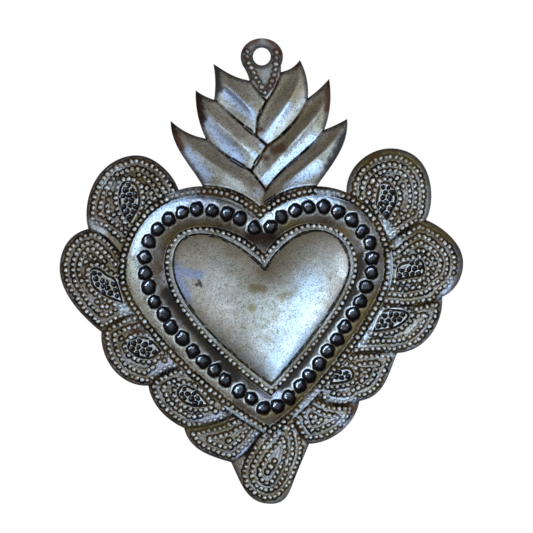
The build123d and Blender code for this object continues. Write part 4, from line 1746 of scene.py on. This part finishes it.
def petal_tin() -> TinFinish:
    """Warm mottled metal with bare stretches and painted sheen, gold borders and rust spots."""
    stains = (
        # bare metal with a painted bluish sheen
        StainAndLightPatch(BARE_WITH_SHEEN, (
            Stroke(1.8, (31.2, -43.0), (34.8, -47.6)), Stroke(1.5, (31.0, -66.4), (25.8, -74.4)),
            Stroke(1.8, (-44.8, -42.8), (-41.0, -45.8)), Stroke(2.4, (-36.4, -64.6), (-34.8, -66.6)),
            Stroke(1.1, (19.8, -81.6), (17.2, -84.4)), Stroke(1.3, (47.0, -63.0), (49.6, -58.0)),
            Stroke(1.0, (17.3, -89.2), (24.0, -89.0)), Stroke(0.9, (31.5, -77.0), (34.3, -77.6)),
        ), clearing=0.8),
        # bare metal with a fainter painted bluish sheen
        StainAndLightPatch(BARE_WITH_SHEEN, (
            Stroke(2.2, (-41.2, -32.4), (-37.2, -33.8)), Stroke(1.8, (-39.6, -30.0), (-36.6, -28.6)),
        ), share=0.6, clearing=0.4),
        StainAndLightPatch(LILAC, (
            Stroke(1.7, (-22.4, -79.0), (-27.8, -82.2)), Stroke(1.3, (-8.4, -92.4), (-15.5, -94.8)),
            Stroke(1.6, (-30.6, -72.6), (-28.6, -73.6)), Stroke(1.0, (-1.4, -97.2), (-6.1, -103.8)),
            Stroke(1.9, (19.6, -94.2), (21.8, -95.4)),
        ), clearing=0.5),
        StainAndLightPatch((0.16, 0.115, 0.035), (
            Stroke(1.6, (26.6, -27.6), (32.5, -24.8)), Stroke(1.6, (32.5, -24.8), (40.5, -27.6)),
            Stroke(1.4, (40.3, -44.5), (45.6, -45.0)), Stroke(1.3, (45.6, -45.0), (49.6, -48.2)),
            Stroke(1.4, (-9.0, -95.8), (-20.5, -96.4)),
        ), share=0.75, soiling=0.6),
        StainAndLightPatch(DUSK_STAIN_AND_SHADE, (
            Stroke(1.5, (50.4, -49.6), (51.6, -55.0)), Stroke(1.3, (51.6, -55.0), (49.8, -60.0)),
        ), share=0.7),
        StainAndLightPatch(INK, (
            Stroke(0.6, (-0.6, -98.2), (-4.2, -103.6)), Stroke(0.5, (15.5, -87.3), (8.9, -93.8)),
            Stroke(0.5, (-9.6, -91.9), (0.2, -97.9)),
        ), soiling=1.0),
        StainAndLightPatch(RUST, (
            Stroke(1.8, (-33.0, -70.8), (-31.4, -71.6)), Stroke(1.5, (22.2, -91.4), (24.6, -91.9)),
            Stroke(1.0, (28.0, -26.8), (30.4, -25.0)), Stroke(1.2, (-37.6, -51.6), (-35.6, -52.6)),
        ), share=0.5, soiling=0.9),
    )
    return TinFinish(
        "petal_tin", cup=(0.015, 0.014, 0.017), line_width=0.17, bright=(0.40, 0.365, 0.335),
        tarnish=(0.21, 0.165, 0.105), tinting=0.6, rubbing=0.25, stains=stains,
    )


def flame_tin() -> TinFinish:
    """Streaked metal, painted blue reflection along the leaves' lower faces, painted olive shade on the upper
    faces of the right ones, with soot and rust at the tips.
    """
    stains = (
        # painted reflection: blue along the lower faces of the left leaves
        StainAndLightPatch(BLUE_REFLECTION, (
            Stroke(2.0, (-9.0, -9.4), (-2.4, -15.6)), Stroke(2.2, (-13.8, -17.2), (-6.0, -27.0)),
            Stroke(2.4, (-19.4, -24.8), (-14.6, -31.4)),
        )),
        # painted reflection: pale blue along the lower faces of the right leaves and at the foot of the flame
        StainAndLightPatch((0.56, 0.68, 0.90), (
            Stroke(1.8, (0.2, -21.4), (6.4, -13.2)), Stroke(1.7, (0.6, -32.2), (13.4, -21.2)),
            Stroke(2.0, (6.8, -34.0), (14.0, -29.2)), Stroke(1.6, (-0.9, -35.2)), Stroke(1.3, (-1.9, -25.6)),
            Stroke(1.2, (0.0, -22.9)),
        )),
        # painted shade: olive on the upper faces of the right leaves
        StainAndLightPatch(OLIVE, (
            Stroke(2.0, (8.6, -11.0), (11.4, -4.0)), Stroke(1.8, (15.0, -18.6), (17.2, -8.5)),
            Stroke(2.2, (-1.2, -15.6), (8.0, -2.6)), Stroke(2.2, (2.4, -24.6), (14.6, -11.4)),
        ), share=0.45),
        StainAndLightPatch((0.055, 0.050, 0.052), (
            Stroke(2.0, (-12.4, -2.7), (-11.6, -8.4)), Stroke(1.7, (21.2, -21.0), (17.6, -29.0)),
        ), soiling=0.8),
        StainAndLightPatch(RUST, (
            Stroke(1.8, (-22.4, -20.0), (-21.2, -23.6)), Stroke(1.9, (3.0, -24.2), (5.2, -23.8)),
            Stroke(1.1, (-0.3, -19.0)), Stroke(1.3, (1.0, -26.4)), Stroke(1.1, (17.6, -6.0), (16.9, -13.6)),
            Stroke(1.0, (9.9, -1.2), (8.9, -2.4)),
        ), share=0.65, soiling=0.9),
        StainAndLightPatch(CHAR, (
            Stroke(1.8, (-16.8, -9.3), (-15.8, -16.4)), Stroke(1.4, (-23.6, -17.2), (-22.8, -19.4)),
            Stroke(0.8, (17.7, -5.6), (17.4, -7.6)),
        ), soiling=1.0),
    )
    return TinFinish(
        "flame_tin", streaks=0.75, line_width=0.32, line_fade=7.0, bright=(0.57, 0.565, 0.56),
        tarnish=(0.34, 0.325, 0.275), stains=stains,
    )


def eyelet_tin() -> TinFinish:
    """Plain greyish metal with rust round the hole."""
    stains = (
        StainAndLightPatch((0.13, 0.05, 0.025), (
            Stroke(1.5, (-4.6, 2.4), (-1.5, 4.4)), Stroke(1.6, (2.4, 4.2), (4.9, 0.8)),
            Stroke(1.4, (1.6, -8.4), (3.2, -5.6)), Stroke(1.1, (-4.4, -0.4)),
        ), share=0.55, soiling=0.9),
    )
    return TinFinish(
        "eyelet_tin", bright=(0.44, 0.43, 0.44), tarnish=(0.26, 0.23, 0.21), worn=(0.60, 0.55, 0.52),
        pale=(0.72, 0.69, 0.71), ringing=0.8, stains=stains,
    )


def middle_pieces() -> list[ChasedPiece]:
    """The dome, the trough between its two rims, and the eyelet."""
    rim = rim_tin()
    rim_chasing = Chasing(bead_radius=0.66, bead_height=0.5, bead_wander=0.08,
                          line_depth=0.18, line_width=0.2)
    dome_chasing = Chasing(line_width=0.2, line_depth=0.25)
    trough_chasing = Chasing(dent_radius=2.0, dent_wander=0.25)
    eyelet_chasing = Chasing(bead_radius=0.68, bead_height=0.46, bead_wander=0.08)
    return [
        HeartDome("heart_dome", "tin_dome", dome_tin(), spacing=0.35, chasing=dome_chasing,
                  traced_to=("inner",)),
        BeadRim("inner_bead_rim", "tin_rim", rim, FINE_SPACING, rim_chasing, ("heart",), shift=0.35),
        DentedTrough("dented_trough", "tin_trough", trough_tin(), spacing=0.22, chasing=trough_chasing),
        BeadRim("outer_bead_rim", "tin_rim", rim, FINE_SPACING, rim_chasing, ("leaf",)),
        HangingEyelet("hanging_eyelet", "tin_eyelet", eyelet_tin(), FINE_SPACING, eyelet_chasing, ("leaf",),
                      added=((-3.75, -0.1), (-3.8, 1.4))),
    ]


def petals() -> list[ChasedPiece]:
    """The petals from the top down on each side, and then the bottom one, whose rows follow a guide."""
    finish = petal_tin()
    chasing = Chasing(bead_radius=0.65, bead_height=0.5, bead_pitch=1.36, bead_wander=0.1,
                      dent_radius=0.74, dent_depth=0.45, line_depth=0.18)
    edge_margins = {"right_1": 2.2, "right_2": 2.3}
    line_margins = {"left_1": 2.4, "left_5": 1.6, "bottom": 0.8}
    first_seed, bottom_pitch = 10, 1.95
    sides = [f"{side}_{number}" for side in ("left", "right") for number in range(1, 6)]
    made: list[ChasedPiece] = []
    for seed, place in enumerate([*sides, "bottom"], start=first_seed):
        made.append(Petal(f"petal_{place}", "tin_petal", finish, FINE_SPACING, replace(chasing, seed=seed),
                          ("petal",), TEARDROPS.get(place), edge_margins.get(place, Petal.edge_margin),
                          line_margins.get(place, Petal.line_margin)))
    made[-1] = replace(made[-1], guide=BOTTOM_GUIDE, first_pitch=bottom_pitch, row_pitch=bottom_pitch)
    return made


def leaves() -> list[ChasedPiece]:
    """The leaves of the flame, from the top down on each side."""
    finish = flame_tin()
    chasing = Chasing(line_width=0.3, line_depth=0.4, unevenness=0.14)
    made: list[ChasedPiece] = []
    for side in ("left", "right"):
        for place in ("top", "middle", "low"):
            above = ("leaf_left_middle", "leaf_right_middle") if place == "low" else ("leaf",)
            made.append(FlameLeaf(f"leaf_{side}_{place}", "tin_flame", finish, spacing=0.25, chasing=chasing,
                                  traced_to=(*above, "outer", "hanging")))
    return made


def ornament() -> Ornament:
    """The ornament, not yet built."""
    return Ornament([*middle_pieces(), *petals(), *leaves()])


def main() -> None:
    """Build the ornament and the studio."""
    logging.basicConfig(level=logging.INFO, format="%(name)s: %(message)s")
    ornament().build()
    Studio().build()


if __name__ == "__main__":
    main()
